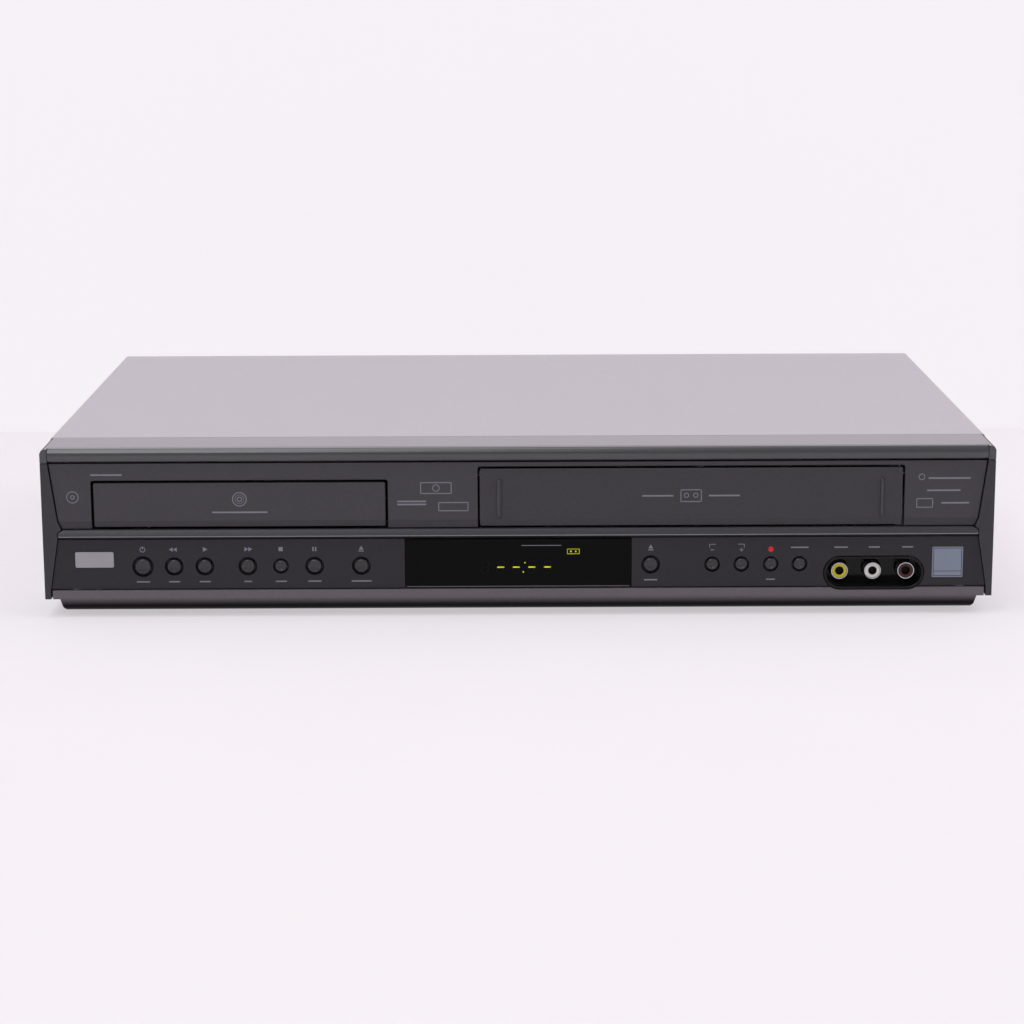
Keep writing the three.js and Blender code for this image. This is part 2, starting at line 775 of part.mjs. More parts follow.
// Rear sockets: one block behind the panel, six sockets through it in two rows
const rearSocketRows = 2;
const rearSocketColumns = 3;
const rearSocketProud = 8;
const rearBlockDepth = 12;
const rearBlockMargin = 8;
const rearSocketZ = 32;
const rearSocketX = -12;
const rearSockets = Array.from({ length: rearSocketRows * rearSocketColumns }, (_, index) => [
  rearSocketX + (index % rearSocketColumns - (rearSocketColumns - 1) / 2) * socketPitch,
  rearSocketZ + Math.floor(index / rearSocketColumns) * socketPitch,
]);
const rearReach = rearPanelOuter + rearSocketProud;
const rearBlockHalf = (rearSocketColumns - 1) / 2 * socketPitch + rearBlockMargin;
add(cabinet, 'rear_sockets', cut(
  join(
    block(
      rearSocketX - rearBlockHalf, rearSocketX + rearBlockHalf, rearPanelInner - gap - rearBlockDepth,
      rearPanelInner - gap, rearSocketZ - rearBlockMargin,
      rearSocketZ + (rearSocketRows - 1) * socketPitch + rearBlockMargin,
    ),
    ...rearSockets.map(([x, z]) => rodY(x, z, socketRadius, rearPanelInner - steel, rearReach, finePeg)),
  ),
  ...rearSockets.map(([x, z]) => (
    rodY(x, z, socketBore, rearReach - socketBoreDepth, rearReach + overrun, finePeg / 2)
  )),
), blackPlastic);

// Mains inlet for a loose lead: a cup with two pins
const inletHalf = 11;
const inletRise = 8;
const inletWall = 2;
const inletDepth = 18;
const inletRecess = 14;
const inletPin = 1.2;
const inletPinLength = 8;
const inletPinPitch = 8;
const inletMargin = 30;
const inletX = -half + inletMargin;
const inletZ = baseTop + 2 * inletRise;
const inletFloor = rearPanelOuter - inletRecess;
add(cabinet, 'mains_inlet', join(
  cut(
    block(
      inletX - inletHalf, inletX + inletHalf, rearPanelOuter - inletDepth, rearPanelOuter,
      inletZ - inletRise, inletZ + inletRise,
    ),
    plate(roundedOutline(
      inletX - inletHalf + inletWall, inletX + inletHalf - inletWall,
      inletZ - inletRise + 2 * inletWall, inletZ + inletRise - 2 * inletWall, inletRise - 2 * inletWall - gap,
    ), inletFloor, rearPanelOuter + overrun),
  ),
  ...[-inletPinPitch / 2, inletPinPitch / 2].map((x) => (
    rodY(inletX + x, inletZ, inletPin, inletFloor - gap, inletFloor + inletPinLength, finePeg / 2)
  )),
), blackPlastic);

// Rear panel, with slots over the power supply
const rearSlots = 8;
const rearSlotPitch = 8;
const rearSlotHeight = 22;
const rearSlotTop = screwZ - lipHeight;
const rearPanelTop = coverTop - steel - gap;
const rearCut = [rearPanelInner - overrun, rearPanelOuter + overrun];
add(cabinet, 'rear_panel', cut(
  block(
    -baseOuter + coverBend, baseOuter - coverBend, rearPanelInner, rearPanelOuter, baseBottom, rearPanelTop,
  ),
  ...rearSockets.map(([x, z]) => rodY(x, z, socketRadius + gap, ...rearCut, finePeg)),
  block(
    inletX - inletHalf - gap, inletX + inletHalf + gap, ...rearCut,
    inletZ - inletRise - gap, inletZ + inletRise + gap,
  ),
  ...Array.from({ length: rearSlots }, (_, index) => {
    const x = discX + (index - rearSlots / 2) * rearSlotPitch;
    return block(x, x + slotWidth, ...rearCut, rearSlotTop - rearSlotHeight, rearSlotTop);
  }),
  ...screwPlaceShares.map((share) => rodY(share * half, screwZ, screwHole, ...rearCut)),
), plainSteel);

// Cover screws
const screwHead = 3.4;
const screwHeadHeight = 1.9;
const screwShank = 1.5;
const screwLength = 8;
const screwCross = 0.8;
const screwFace = depth + gap;
const screwTop = screwFace + screwHeadHeight;
screwPlaceShares.forEach((share, index) => {
  const crossFloor = screwFace + screwHeadHeight / 2;
  const screw = cut(
    turnedY([
      [0, screwFace - screwLength],
      [screwShank, screwFace - screwLength],
      [screwShank, screwFace],
      [screwHead, screwFace],
      [screwHead, crossFloor],
      [screwHead / 2, screwTop],
      [0, screwTop],
    ]),
    block(
      -screwCross / 2, screwCross / 2, crossFloor, screwTop + overrun, -screwHead / 2, screwHead / 2,
    ),
    block(
      -screwHead / 2, screwHead / 2, crossFloor, screwTop + overrun, -screwCross / 2, screwCross / 2,
    ),
  );
  add(cabinet, `cover_screw_${index + 1}`, screw, polishedMetal, [share * half, 0, screwZ]);
});

// Feet
const footRadius = 9;
const footEdge = 1;
const footInset = 17;
const footFront = 32;
const footRear = depth - footFront;
const footTop = baseBottom - gap;
for (const [end, y] of [['front', footFront], ['rear', footRear]]) {
  for (const [hand, side] of [['left', -1], ['right', 1]]) {
    const foot = turnedZ([
      [0, 0],
      [footRadius - footEdge, 0],
      [footRadius, footEdge],
      [footRadius, footTop],
      [0, footTop],
    ], wheelSides / 2);
    add(cabinet, `foot_${end}_${hand}`, foot, rubber, [side * (half - footInset), y, 0]);
  }
}

// Disc loader, in a group of its own with x from the middle of the disc
const loader = new THREE.Group();
loader.position.x = discX;
cabinet.add(loader);

// Disc tray: a well for the disc, a slot for turntable and pickup, rails, and a rack for the gear
const trayCorner = 5;
const trayFloor = 2;
const trayWell = 4.5;
const trayRail = 2.5;
const trayRailWidth = 4;
const traySlotHalf = 19;
const traySlotReach = 65;
const ledgeHeight = 4.7;
const ledgeTop = loaderFloor + moulding + ledgeHeight;
const railBottom = ledgeTop + gap;
const trayBottom = railBottom + trayRail;
const discFloor = trayBottom + trayFloor;
const trayTop = discFloor + trayWell;

// Tray gear and rack: straight-sided teeth with room to run
const gearModule = 1.5;
const gearTeeth = 16;
const toothPlay = 0.5;
const pressureAngle = THREE.MathUtils.degToRad(20);
const toothTipShare = 0.75;
const toothRootShare = 0.95;
const toothSlope = Math.tan(pressureAngle);
const gearRadius = gearModule * gearTeeth / 2;
const toothPitch = Math.PI * gearModule;
const toothTip = toothTipShare * gearModule;
const toothRoot = toothRootShare * gearModule;
const toothHalf = (toothPitch / 2 - toothPlay) / 2;
const tipHalf = toothHalf - toothTip * toothSlope;
const rootHalf = toothHalf + toothRoot * toothSlope;
const rackBack = 3;
const gearY = trayFront + 2 * gearRadius;
const gearX = -trayHalf + trayRailWidth + rackBack + toothRoot + gearRadius;
const rackX = gearX - gearRadius;
const gearShaft = 3;
const gearBottom = loaderFloor + moulding + gap;
const gearTop = trayBottom - 2 * gap;
const rackTeeth = Math.floor((trayRear - gearY - toothPitch) / toothPitch);

const gearOutline = outline(Array.from({ length: gearTeeth }, (_, tooth) => {
  const middle = Math.PI + tooth * 2 * Math.PI / gearTeeth;
  return [
    [gearRadius - toothRoot, -rootHalf],
    [gearRadius + toothTip, -tipHalf],
    [gearRadius + toothTip, tipHalf],
    [gearRadius - toothRoot, rootHalf],
  ].map(([radius, across]) => {
    const angle = middle + across / radius;
    return [radius * Math.cos(angle), radius * Math.sin(angle)];
  });
}).flat());
const rackOutline = outline([
  [rackX - toothRoot - rackBack, gearY - toothPitch],
  [rackX - toothRoot, gearY - toothPitch],
  ...Array.from({ length: rackTeeth }, (_, tooth) => {
    const middle = gearY + (tooth - 0.5) * toothPitch;
    return [
      [rackX - toothRoot, middle - rootHalf],
      [rackX + toothTip, middle - tipHalf],
      [rackX + toothTip, middle + tipHalf],
      [rackX - toothRoot, middle + rootHalf],
    ];
  }).flat(),
  [rackX - toothRoot, trayRear],
  [rackX - toothRoot - rackBack, trayRear],
]);
const discTray = join(
  cut(
    slab(roundedOutline(-trayHalf, trayHalf, trayFront, trayRear, trayCorner), trayBottom, trayTop),
    rodZ(0, discY, discRadius + discPlay, discFloor, trayTop + overrun, wheelSides + finePeg),
    slab(
      roundedOutline(
        -traySlotHalf, traySlotHalf, discY - traySlotHalf, discY + traySlotReach, traySlotHalf - gap,
      ),
      railBottom, trayTop + overrun, finePeg / 2,
    ),
  ),
  ...bothSides(
    trayHalf - trayRailWidth, trayHalf, trayFront + trayCorner, trayRear - trayCorner,
    railBottom, trayBottom + gap,
  ),
  slab(rackOutline, panelBottom + gap, trayBottom + gap),
);
add(loader, 'disc_tray', discTray, blackPlastic);
add(loader, 'tray_gear', cut(
  slab(gearOutline, gearBottom, gearTop),
  rodZ(0, 0, gearShaft + gap, gearBottom - overrun, gearTop + overrun),
), whitePlastic, [gearX, gearY, 0]);

// Drive deck: swings up at its rear pins to lift the turntable through the tray
const deckSwing = THREE.MathUtils.degToRad(6.6);
const swingReach = 80;
const swingLift = 1;
const swingY = discY + swingReach;
const swingZ = loaderFloor + swingLift;
const swing = new THREE.Group();
swing.position.set(0, swingY, swingZ);
swing.rotation.x = deckSwing;
loader.add(swing);

const driveHalf = 36;
const driveFront = 104;
const driveRear = 6;
const driveSheet = 1.5;
const driveLift = 1.5;
const driveWindow = 26;
const sledRodX = 22;
const sledRod = 1.5;
const sledRodBlock = 3;
const sledRodFront = 70;
const sledRodRear = 7;
const swingPin = 1.2;
const swingPinReach = 6;
const earWidth = 3;
const motorRadius = 13;
const motorHeight = 9;
const spindle = 1.2;
const driveTop = driveLift + driveSheet;
const motorBottom = driveLift - motorHeight;
const driveDeck = cut(
  join(
    cut(
      block(-driveHalf, driveHalf, -driveFront, -driveRear, driveLift, driveTop),
      block(
        -driveWindow, driveWindow, -sledRodFront + sledRodBlock, -sledRodRear - sledRodBlock,
        -overrun, driveTop + overrun,
      ),
    ),
    rodZ(0, -swingReach, motorRadius, motorBottom, driveTop - gap, wheelSides / 2),
    ...[-1, 1].flatMap((side) => {
      const x = side * sledRodX;
      const ear = side * (driveHalf - earWidth / 2);
      return [
        rodY(x, 0, sledRod, -sledRodFront, -sledRodRear, standoffSides),
        ...[-sledRodFront, -sledRodRear].map((y) => block(
          x - sledRodBlock, x + sledRodBlock, y - sledRodBlock / 2, y + sledRodBlock / 2,
          -sledRodBlock, driveTop - gap,
        )),
        block(
          ear - earWidth / 2, ear + earWidth / 2, -driveRear - earWidth, swingPin, -swingPin, driveTop - gap,
        ),
      ];
    }),
    rodX(0, 0, swingPin, -driveHalf - swingPinReach, -driveHalf + earWidth, standoffSides),
    rodX(0, 0, swingPin, driveHalf - earWidth, driveHalf + swingPinReach, standoffSides),
  ),
  rodZ(0, -swingReach, spindle + gap, motorBottom + steel, driveTop + overrun, standoffSides),
);
add(swing, 'drive_deck', driveDeck, plainSteel);

// Turntable on its spindle, and the pickup sled on its two rods
const tableRadius = 14;
const tableThickness = 2;
const discLift = 4;
const discHub = 7.3;
const hubHeight = 2;
const tableTop = discFloor + discLift - swingZ;
add(swing, 'turntable', turnedZ([
  [0, motorBottom + 2 * steel],
  [spindle, motorBottom + 2 * steel],
  [spindle, driveTop + gap],
  [2 * spindle, driveTop + gap],
  [2 * spindle, tableTop - tableThickness],
  [tableRadius, tableTop - tableThickness],
  [tableRadius, tableTop],
  [discHub, tableTop],
  [discHub - hubHeight, tableTop + hubHeight],
  [0, tableTop + hubHeight],
], keySides + finePeg / 3), blackPlastic, [0, -swingReach, 0]);

const innerTrack = 25;
const sledHalfLength = 10;
const sledHalf = 25;
const sledRise = 4.5;
const turretHalf = 8;
const turretHalfLength = 6;
const lensRadius = 3;
const lensGap = 2;
const sledY = -swingReach + innerTrack;
const sledTop = driveLift - gap;
const turretTop = tableTop - lensGap;
add(swing, 'pickup_sled', cut(
  join(
    block(-sledHalf, sledHalf, -sledHalfLength, sledHalfLength, -sledRise, sledTop),
    block(
      -turretHalf, turretHalf, -turretHalfLength, turretHalfLength,
      -sledRise / 2, turretTop - lensRadius / 2,
    ),
    turnedZ([
      [0, 0],
      [lensRadius, 0],
      [lensRadius, turretTop - lensRadius / 2],
      [lensRadius / 2, turretTop],
      [0, turretTop],
    ], finePeg),
  ),
  ...[-sledRodX, sledRodX].map((x) => (
    rodY(x, 0, sledRod + gap, -sledHalfLength - overrun, sledHalfLength + overrun, standoffSides)
  )),
), blackPlastic, [0, sledY, 0]);

// Loader frame: floor with an opening for the drive deck, walls, tray ledges, and pivot blocks
const loaderWallTop = 22;
const ledgeReach = 8;
const driveClear = 4;
const pivotBlock = 5;
const holdDown = 6;
const holdDownHeight = 1.6;
const wallTop = loaderFloor + loaderWallTop;
const floorTop = loaderFloor + moulding;
const openingHalf = driveHalf + driveClear;
const pinZone = driveHalf + swingPinReach;
const loaderFrame = cut(
  join(
    cut(
      block(-loaderHalf, loaderHalf, loaderFront, loaderRear, loaderFloor, floorTop),
      block(
        -openingHalf, openingHalf, swingY - driveFront - driveClear, swingY + driveRear,
        loaderFloor - overrun, floorTop + overrun,
      ),
    ),
    block(-loaderHalf, loaderHalf, loaderRear - loaderWall, loaderRear, loaderFloor, wallTop),
    rodZ(gearX, gearY, gearShaft, floorTop - gap, gearTop),
    ...bothSides(loaderHalf - loaderWall, loaderHalf, loaderFront, loaderRear, loaderFloor, wallTop),
    ...bothSides(
      loaderHalf - loaderWall - ledgeReach, loaderHalf, loaderFront, loaderRear, loaderFloor, ledgeTop,
    ),
    ...bothSides(
      trayHalf - loaderWall, loaderHalf, loaderFront, loaderFront + holdDown,
      trayTop + gap, trayTop + gap + holdDownHeight,
    ),
    ...bothSides(
      openingHalf, openingHalf + pivotBlock, swingY - pivotBlock, swingY + pivotBlock,
      loaderFloor - pivotBlock / 2, floorTop + pivotBlock / 2,
    ),
  ),
  rodX(swingY, swingZ, swingPin + gap, -pinZone - gap, pinZone + gap, standoffSides),
);
add(loader, 'loader_frame', loaderFrame, blackPlastic);

// Clamp bridge over the tray, and the clamper hanging in it
const bridgeHalf = 16;
const clampNeck = 11;
const clampRadius = 14;
const clampDisc = 3.2;
const bridgeBottom = wallTop + gap;
const bridgeTop = bridgeBottom + steel;
const clampBottom = swingZ + tableTop + hubHeight + gap;
add(loader, 'clamp_bridge', cut(
  block(-loaderHalf, loaderHalf, discY - bridgeHalf, discY + bridgeHalf, bridgeBottom, bridgeTop),
  rodZ(0, discY, clampNeck + gap, bridgeBottom - overrun, bridgeTop + overrun, keySides + finePeg / 3),
), plainSteel);
add(loader, 'clamper', turnedZ([
  [0, clampBottom],
  [clampRadius, clampBottom],
  [clampRadius, clampBottom + clampDisc],
  [clampNeck, clampBottom + clampDisc],
  [clampNeck, bridgeTop + gap],
  [clampRadius, bridgeTop + gap],
  [clampRadius, bridgeTop + gap + steel],
  [0, bridgeTop + gap + steel],
], keySides + finePeg / 3), whitePlastic, [0, discY, 0]);

// Main board under the loader, with a row of three chips between two rows of capacitors
const chipHeight = 2;
const chipHalf = 10;
const chipPitch = 40;
const canRadius = 4;
const canHeight = 13;
const boardOnStand = ({ x0, x1, y0, y1 }) => block(x0, x1, y0, y1, boardBottom, boardTop);
const mainMiddle = (mainBoard.y0 + mainBoard.y1) / 2;
const canX = mainBoardHalf - 2 * canRadius;
const boardRows = [mainMiddle - chipPitch, mainMiddle, mainMiddle + chipPitch];
add(cabinet, 'main_board', join(
  boardOnStand(mainBoard),
  ...boardRows.map((y) => block(
    discX - chipHalf, discX + chipHalf, y - chipHalf, y + chipHalf, boardTop - gap, boardTop + chipHeight,
  )),
  ...boardRows.flatMap((y) => [discX - canX, discX + canX].map((x) => (
    rodZ(x, y, canRadius, boardTop - gap, boardTop + canHeight, standoffSides)
  ))),
), circuitBoard);

// Power supply: transformer, two large capacitors and a finned heat sink on a board
const transformerHalf = 18;
const transformerHeight = 34;
const bulkRadius = 9;
const bulkHeight = 30;
const bulkPitch = 20;
const bulkClearance = 1;
const fins = 5;
const finPitch = 6;
const finHeight = 26;
const finDepth = 26;
const supplyMiddle = (supplyBoard.y0 + supplyBoard.y1) / 2;
const bulkX = inletX + inletHalf + bulkClearance + bulkRadius;
const sinkX = discX + supplyHalf - 2 * transformerHalf;
add(cabinet, 'power_supply', join(
  boardOnStand(supplyBoard),
  block(
    discX - transformerHalf, discX + transformerHalf / 2,
    supplyMiddle - transformerHalf, supplyMiddle + transformerHalf,
    boardTop - gap, boardTop + transformerHeight,
  ),
  ...[supplyMiddle - bulkPitch / 2, supplyMiddle + bulkPitch / 2].map((y) => (
    rodZ(bulkX, y, bulkRadius, boardTop - gap, boardTop + bulkHeight)
  )),
  block(
    sinkX, sinkX + (fins - 1) * finPitch + steel, supplyMiddle - steel, supplyMiddle,
    boardTop - gap, boardTop + finHeight,
  ),
  ...Array.from({ length: fins }, (_, index) => block(
    sinkX + index * finPitch, sinkX + index * finPitch + steel, supplyMiddle - finDepth / 2,
    supplyMiddle + finDepth / 2, boardTop - gap, boardTop + finHeight,
  )),
), circuitBoard);

// Cassette deck, in a group of its own with x from the middle of the cassette
const deck = new THREE.Group();
deck.position.x = deckX;
cabinet.add(deck);

const holderDepth = 80;
const holderInset = 1;
const holderLedge = 10;
const loadTravel = 48;
const sliderDrop = 17;
const sliderRise = 2;
const sliderBar = 10;
const bracketRise = 1;
const cassetteRoom = 26.6;
const deckTop = deckFloor + deckSheet;
const holderInner = cassetteWidth / 2;
const holderOuter = holderInner + carriageSheet;
const sliderInner = holderOuter + gap;
const sliderOuter = sliderInner + carriageSheet;
const bracketInner = sliderOuter + gap;
const holderFront = deckFront + holderInset;
const holderRear = holderFront + holderDepth;
const holderBottom = doorBottom - carriageSheet;
const holderRoof = doorBottom + cassetteRoom;
const holderTop = holderRoof + carriageSheet;
const sliderTop = holderTop + sliderRise;
const loadedRear = holderRear + loadTravel;

// Cassette holder: roof, sides and two ledges, open at the front, at the back and in between
add(deck, 'cassette_holder', join(
  block(-holderOuter, holderOuter, holderFront, holderRear, holderRoof, holderTop),
  ...bothSides(holderInner, holderOuter, holderFront, holderRear, holderBottom, holderTop),
  ...bothSides(holderInner - holderLedge, holderOuter, holderFront, holderRear, holderBottom, doorBottom),
), plainSteel);

// Carriage slider: takes the holder in and guides it down
add(deck, 'carriage_slider', join(
  ...bothSides(sliderInner, sliderOuter, holderFront, holderRear, holderBottom - sliderDrop, sliderTop),
  block(-sliderOuter, sliderOuter, holderRear - sliderBar, holderRear, sliderTop - carriageSheet, sliderTop),
), plainSteel);

// Places on the deck: drum, guides, reels, capstan and pinch roller
const drumRadius = 31;
const drumMargin = 44;
const guideX = 22;
const guideY = 43;
const guideSwing = THREE.MathUtils.degToRad(80);
const guideSlot = 3;
const guidePin = 2.4;
const reelSpread = 46;
const reelSetback = 62;
const capstanX = 58;
const capstanY = 37;
const capstanRadius = 1.5;
const rollerRadius = 6;
const rollerBite = 0.2;
const pinchAngle = THREE.MathUtils.degToRad(143.13);
const pinchSwing = THREE.MathUtils.degToRad(30);
const pinchArmLength = 20;
const peg = 2;
const drumY = deckRear - drumMargin;
const guideOrbit = Math.hypot(guideX, guideY);
const guideStart = Math.atan2(-guideY, guideX);
const reelY = loadedRear - reelSetback;
const capstanPlace = [capstanX, drumY - capstanY];
const pinchReach = rollerRadius + capstanRadius + rollerBite;
const pinchPivot = [
  capstanX + pinchReach * Math.sin(pinchAngle) - pinchArmLength * Math.cos(pinchAngle),
  drumY - capstanY - pinchReach * Math.cos(pinchAngle) - pinchArmLength * Math.sin(pinchAngle),
];
const pegHeight = 5;

// Deck plate with its two side brackets, arc slots for the guides, and pegs for reels and arm
function guideSlotOutline(start, end) {
  const shape = new THREE.Shape();
  shape.absarc(0, drumY, guideOrbit + guideSlot, start, end, false);
  shape.absarc(0, drumY, guideOrbit - guideSlot, end, start, true);
  return shape;
}
const slotMargin = guideSlot / guideOrbit;
const rightSlot = guideSlotOutline(guideStart - slotMargin, guideStart + guideSwing + slotMargin);
const leftSlot = guideSlotOutline(
  Math.PI - guideStart - guideSwing - slotMargin, Math.PI - guideStart + slotMargin,
);
const bracketRear = loadedRear - holderDepth / 3;
add(deck, 'deck_plate', join(
  cut(
    block(-deckHalf, deckHalf, deckFront, deckRear, deckFloor, deckTop),
    slab(rightSlot, deckFloor - overrun, deckTop + overrun, standoffSides),
    slab(leftSlot, deckFloor - overrun, deckTop + overrun, standoffSides),
    rodZ(...capstanPlace, capstanRadius + gap, deckFloor - overrun, deckTop + overrun, standoffSides),
  ),
  ...bothSides(bracketInner, deckHalf, deckFront, bracketRear, deckFloor, sliderTop + bracketRise),
  ...[-reelSpread, reelSpread].map((x) => (
    rodZ(x, reelY, peg, deckTop - gap, deckTop + pegHeight, standoffSides)
  )),
  rodZ(...pinchPivot, peg, deckTop - gap, deckTop + pegHeight, standoffSides),
), plainSteel);

// Lower drum, leaning, on a round foot, and the head drum spinning above it
const drumLean = THREE.MathUtils.degToRad(-6);
const drumFoot = 22;
const drumFootHeight = 7;
const drumLift = 3.8;
const lowerDrumHeight = 11;
const headDrumHeight = 16;
const headDrumEdge = 1.5;
const drumShaft = 2;
const drumShaftReach = 6;
const drumSplit = drumLift + lowerDrumHeight;
const drumCap = drumSplit + gap + headDrumHeight;
const drumBore = drumSplit - drumShaftReach - 2 * gap;
add(deck, 'lower_drum', cut(
  join(
    rodZ(0, 0, drumFoot, gap, drumFootHeight, wheelSides / 2),
    rodZ(0, 0, drumRadius, drumLift, drumSplit, wheelSides).rotateX(drumLean),
  ),
  rodZ(0, 0, drumShaft + gap, drumBore, drumSplit + overrun, standoffSides).rotateX(drumLean),
), polishedMetal, [0, drumY, deckTop]);
const headDrum = add(deck, 'head_drum', turnedZ([
  [0, drumSplit - drumShaftReach],
  [drumShaft, drumSplit - drumShaftReach],
  [drumShaft, drumSplit + gap],
  [drumRadius, drumSplit + gap],
  [drumRadius, drumCap - headDrumEdge],
  [drumRadius - headDrumEdge, drumCap],
  [drumRadius / 3, drumCap],
  [drumRadius / 3, drumCap - headDrumEdge],
  [0, drumCap - headDrumEdge],
]), polishedMetal, [0, drumY, deckTop]);
headDrum.rotation.x = drumLean;

// Reel tables: a disc with a spindle that has three wings
const reelRadius = 18;
const reelDisc = 3;
const reelSpindle = 4.6;
const reelSpindleHeight = 13;
const reelWing = 1.8;
const reelWings = 3;
const reelBase = deckTop + gap;
const reelBore = deckTop + pegHeight + gap;
for (const [name, x] of [['supply_reel', -reelSpread], ['takeup_reel', reelSpread]]) {
  add(deck, name, join(
    turnedZ([
      [0, reelBore],
      [peg + gap, reelBore],
      [peg + gap, reelBase],
      [reelRadius, reelBase],
      [reelRadius, reelBase + reelDisc],
      [reelSpindle, reelBase + reelDisc],
      [reelSpindle, reelBase + reelSpindleHeight],
      [0, reelBase + reelSpindleHeight + reelWing],
    ], keySides + finePeg / 3),
    ...Array.from({ length: reelWings }, (_, wing) => block(
      reelSpindle - reelWing / 2, reelSpindle + reelWing, -reelWing / 2, reelWing / 2,
      reelBase + reelDisc - gap, reelBase + reelSpindleHeight - reelWing,
    ).rotateZ(wing * 2 * Math.PI / reelWings)),
  ), whitePlastic, [x, reelY, 0]);
}

// Capstan: a thin shaft up through the deck, on a flywheel below it
const flywheelRadius = 24;
const flywheelThickness = 4.5;
const flywheelDrop = 2.5;
const postTop = 29;
const flywheelTop = deckFloor - flywheelDrop;
add(deck, 'capstan', turnedZ([
  [0, flywheelTop - flywheelThickness],
  [flywheelRadius, flywheelTop - flywheelThickness],
  [flywheelRadius, flywheelTop],
  [capstanRadius, flywheelTop],
  [capstanRadius, deckTop + postTop],
  [0, deckTop + postTop],
], keySides + finePeg / 3), polishedMetal, [...capstanPlace, 0]);

// Pinch arm on its peg, open at rest, and the roller on its axle
const armWidth = 4;
const armThickness = 3;
const axle = 1.5;
const rollerLift = 9;
const rollerHeight = 16;
const pinch = new THREE.Group();
pinch.position.set(...pinchPivot, deckTop + gap);
pinch.rotation.z = pinchAngle - pinchSwing;
deck.add(pinch);
add(pinch, 'pinch_arm', cut(
  join(
    block(0, pinchArmLength, -armWidth / 2, armWidth / 2, 0, armThickness),
    rodZ(0, 0, armWidth, 0, armThickness),
    rodZ(pinchArmLength, 0, armWidth, 0, armThickness),
    rodZ(pinchArmLength, 0, axle, 0, rollerLift + rollerHeight, standoffSides),
    rodZ(pinchArmLength, 0, armWidth, armThickness - gap, rollerLift - gap, standoffSides),
  ),
  rodZ(0, 0, peg + gap, -overrun, armThickness + overrun, standoffSides),
), plainSteel);
add(pinch, 'pinch_roller', cut(
  rodZ(0, 0, rollerRadius, rollerLift, rollerLift + rollerHeight, keySides + finePeg / 3),
  rodZ(0, 0, axle + gap, rollerLift - overrun, rollerLift + rollerHeight + overrun, standoffSides),
), rubber, [pinchArmLength, 0, 0]);

// Tape guides: a shoe on the deck with a pin in its slot, a roller post and a slanted post
const shoeHalf = 6;
const shoeWidth = 8;
const shoeThickness = 3;
const guidePost = 1.2;
const guideRoller = 2.8;
const guideRise = 26;
const slantSpread = 4;
const slantLean = THREE.MathUtils.degToRad(12);
for (const [name, side] of [['entry_guide', -1], ['exit_guide', 1]]) {
  const along = side * slantSpread;
  const slantPost = rodZ(0, 0, guidePost, 0, guideRise, standoffSides).rotateY(side * slantLean);
  add(deck, name, join(
    block(-shoeHalf, shoeHalf, -shoeWidth / 2, shoeWidth / 2, gap, shoeThickness),
    rodZ(0, 0, guidePin, -deckSheet - gap, shoeThickness / 2, standoffSides),
    rodZ(-along / 2, 0, guideRoller, shoeThickness - gap, guideRise, standoffSides),
    slantPost.translate(along, 0, shoeThickness / 2),
  ), polishedMetal, [side * guideX, drumY - guideY, deckTop]);
}

// Rear sockets reach past the cabinet, and the origin is under the middle of both
cabinet.position.y = -rearReach / 2;

export default player;
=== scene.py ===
import json
import math
import bpy
from mathutils import Matrix, Vector

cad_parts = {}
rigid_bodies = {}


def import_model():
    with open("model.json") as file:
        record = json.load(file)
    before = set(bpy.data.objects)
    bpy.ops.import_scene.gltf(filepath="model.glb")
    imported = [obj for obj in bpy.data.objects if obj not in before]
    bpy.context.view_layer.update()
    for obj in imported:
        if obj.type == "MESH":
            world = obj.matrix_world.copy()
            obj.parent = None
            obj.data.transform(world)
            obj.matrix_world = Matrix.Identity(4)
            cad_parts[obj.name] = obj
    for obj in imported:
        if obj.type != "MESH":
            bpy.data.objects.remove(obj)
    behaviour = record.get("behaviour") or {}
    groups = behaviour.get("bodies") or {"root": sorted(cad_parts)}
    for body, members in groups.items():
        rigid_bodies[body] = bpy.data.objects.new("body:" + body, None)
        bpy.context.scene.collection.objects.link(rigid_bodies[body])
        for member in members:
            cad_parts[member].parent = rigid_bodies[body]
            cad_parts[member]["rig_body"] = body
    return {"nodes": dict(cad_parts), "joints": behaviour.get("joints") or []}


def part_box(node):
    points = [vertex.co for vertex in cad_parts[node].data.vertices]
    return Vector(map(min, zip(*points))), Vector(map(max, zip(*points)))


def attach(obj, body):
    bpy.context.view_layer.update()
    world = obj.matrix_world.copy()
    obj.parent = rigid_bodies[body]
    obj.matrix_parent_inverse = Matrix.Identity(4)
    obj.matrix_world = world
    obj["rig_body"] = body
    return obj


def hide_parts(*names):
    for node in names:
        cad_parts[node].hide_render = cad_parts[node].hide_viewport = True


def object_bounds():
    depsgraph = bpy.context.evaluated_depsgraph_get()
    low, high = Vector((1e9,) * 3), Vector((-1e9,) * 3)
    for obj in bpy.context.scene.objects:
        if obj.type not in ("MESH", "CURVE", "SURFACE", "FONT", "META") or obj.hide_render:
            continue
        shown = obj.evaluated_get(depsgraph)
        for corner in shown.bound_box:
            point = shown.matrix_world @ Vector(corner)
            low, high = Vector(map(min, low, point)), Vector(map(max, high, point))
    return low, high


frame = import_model()
cad_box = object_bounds()


# Camera: stands 1.3 m in front of the player's middle and 0.3 m above the table, and looks down on its
# front edge, so that the front shows square on and the top foreshortened. Its lens is a short telephoto.

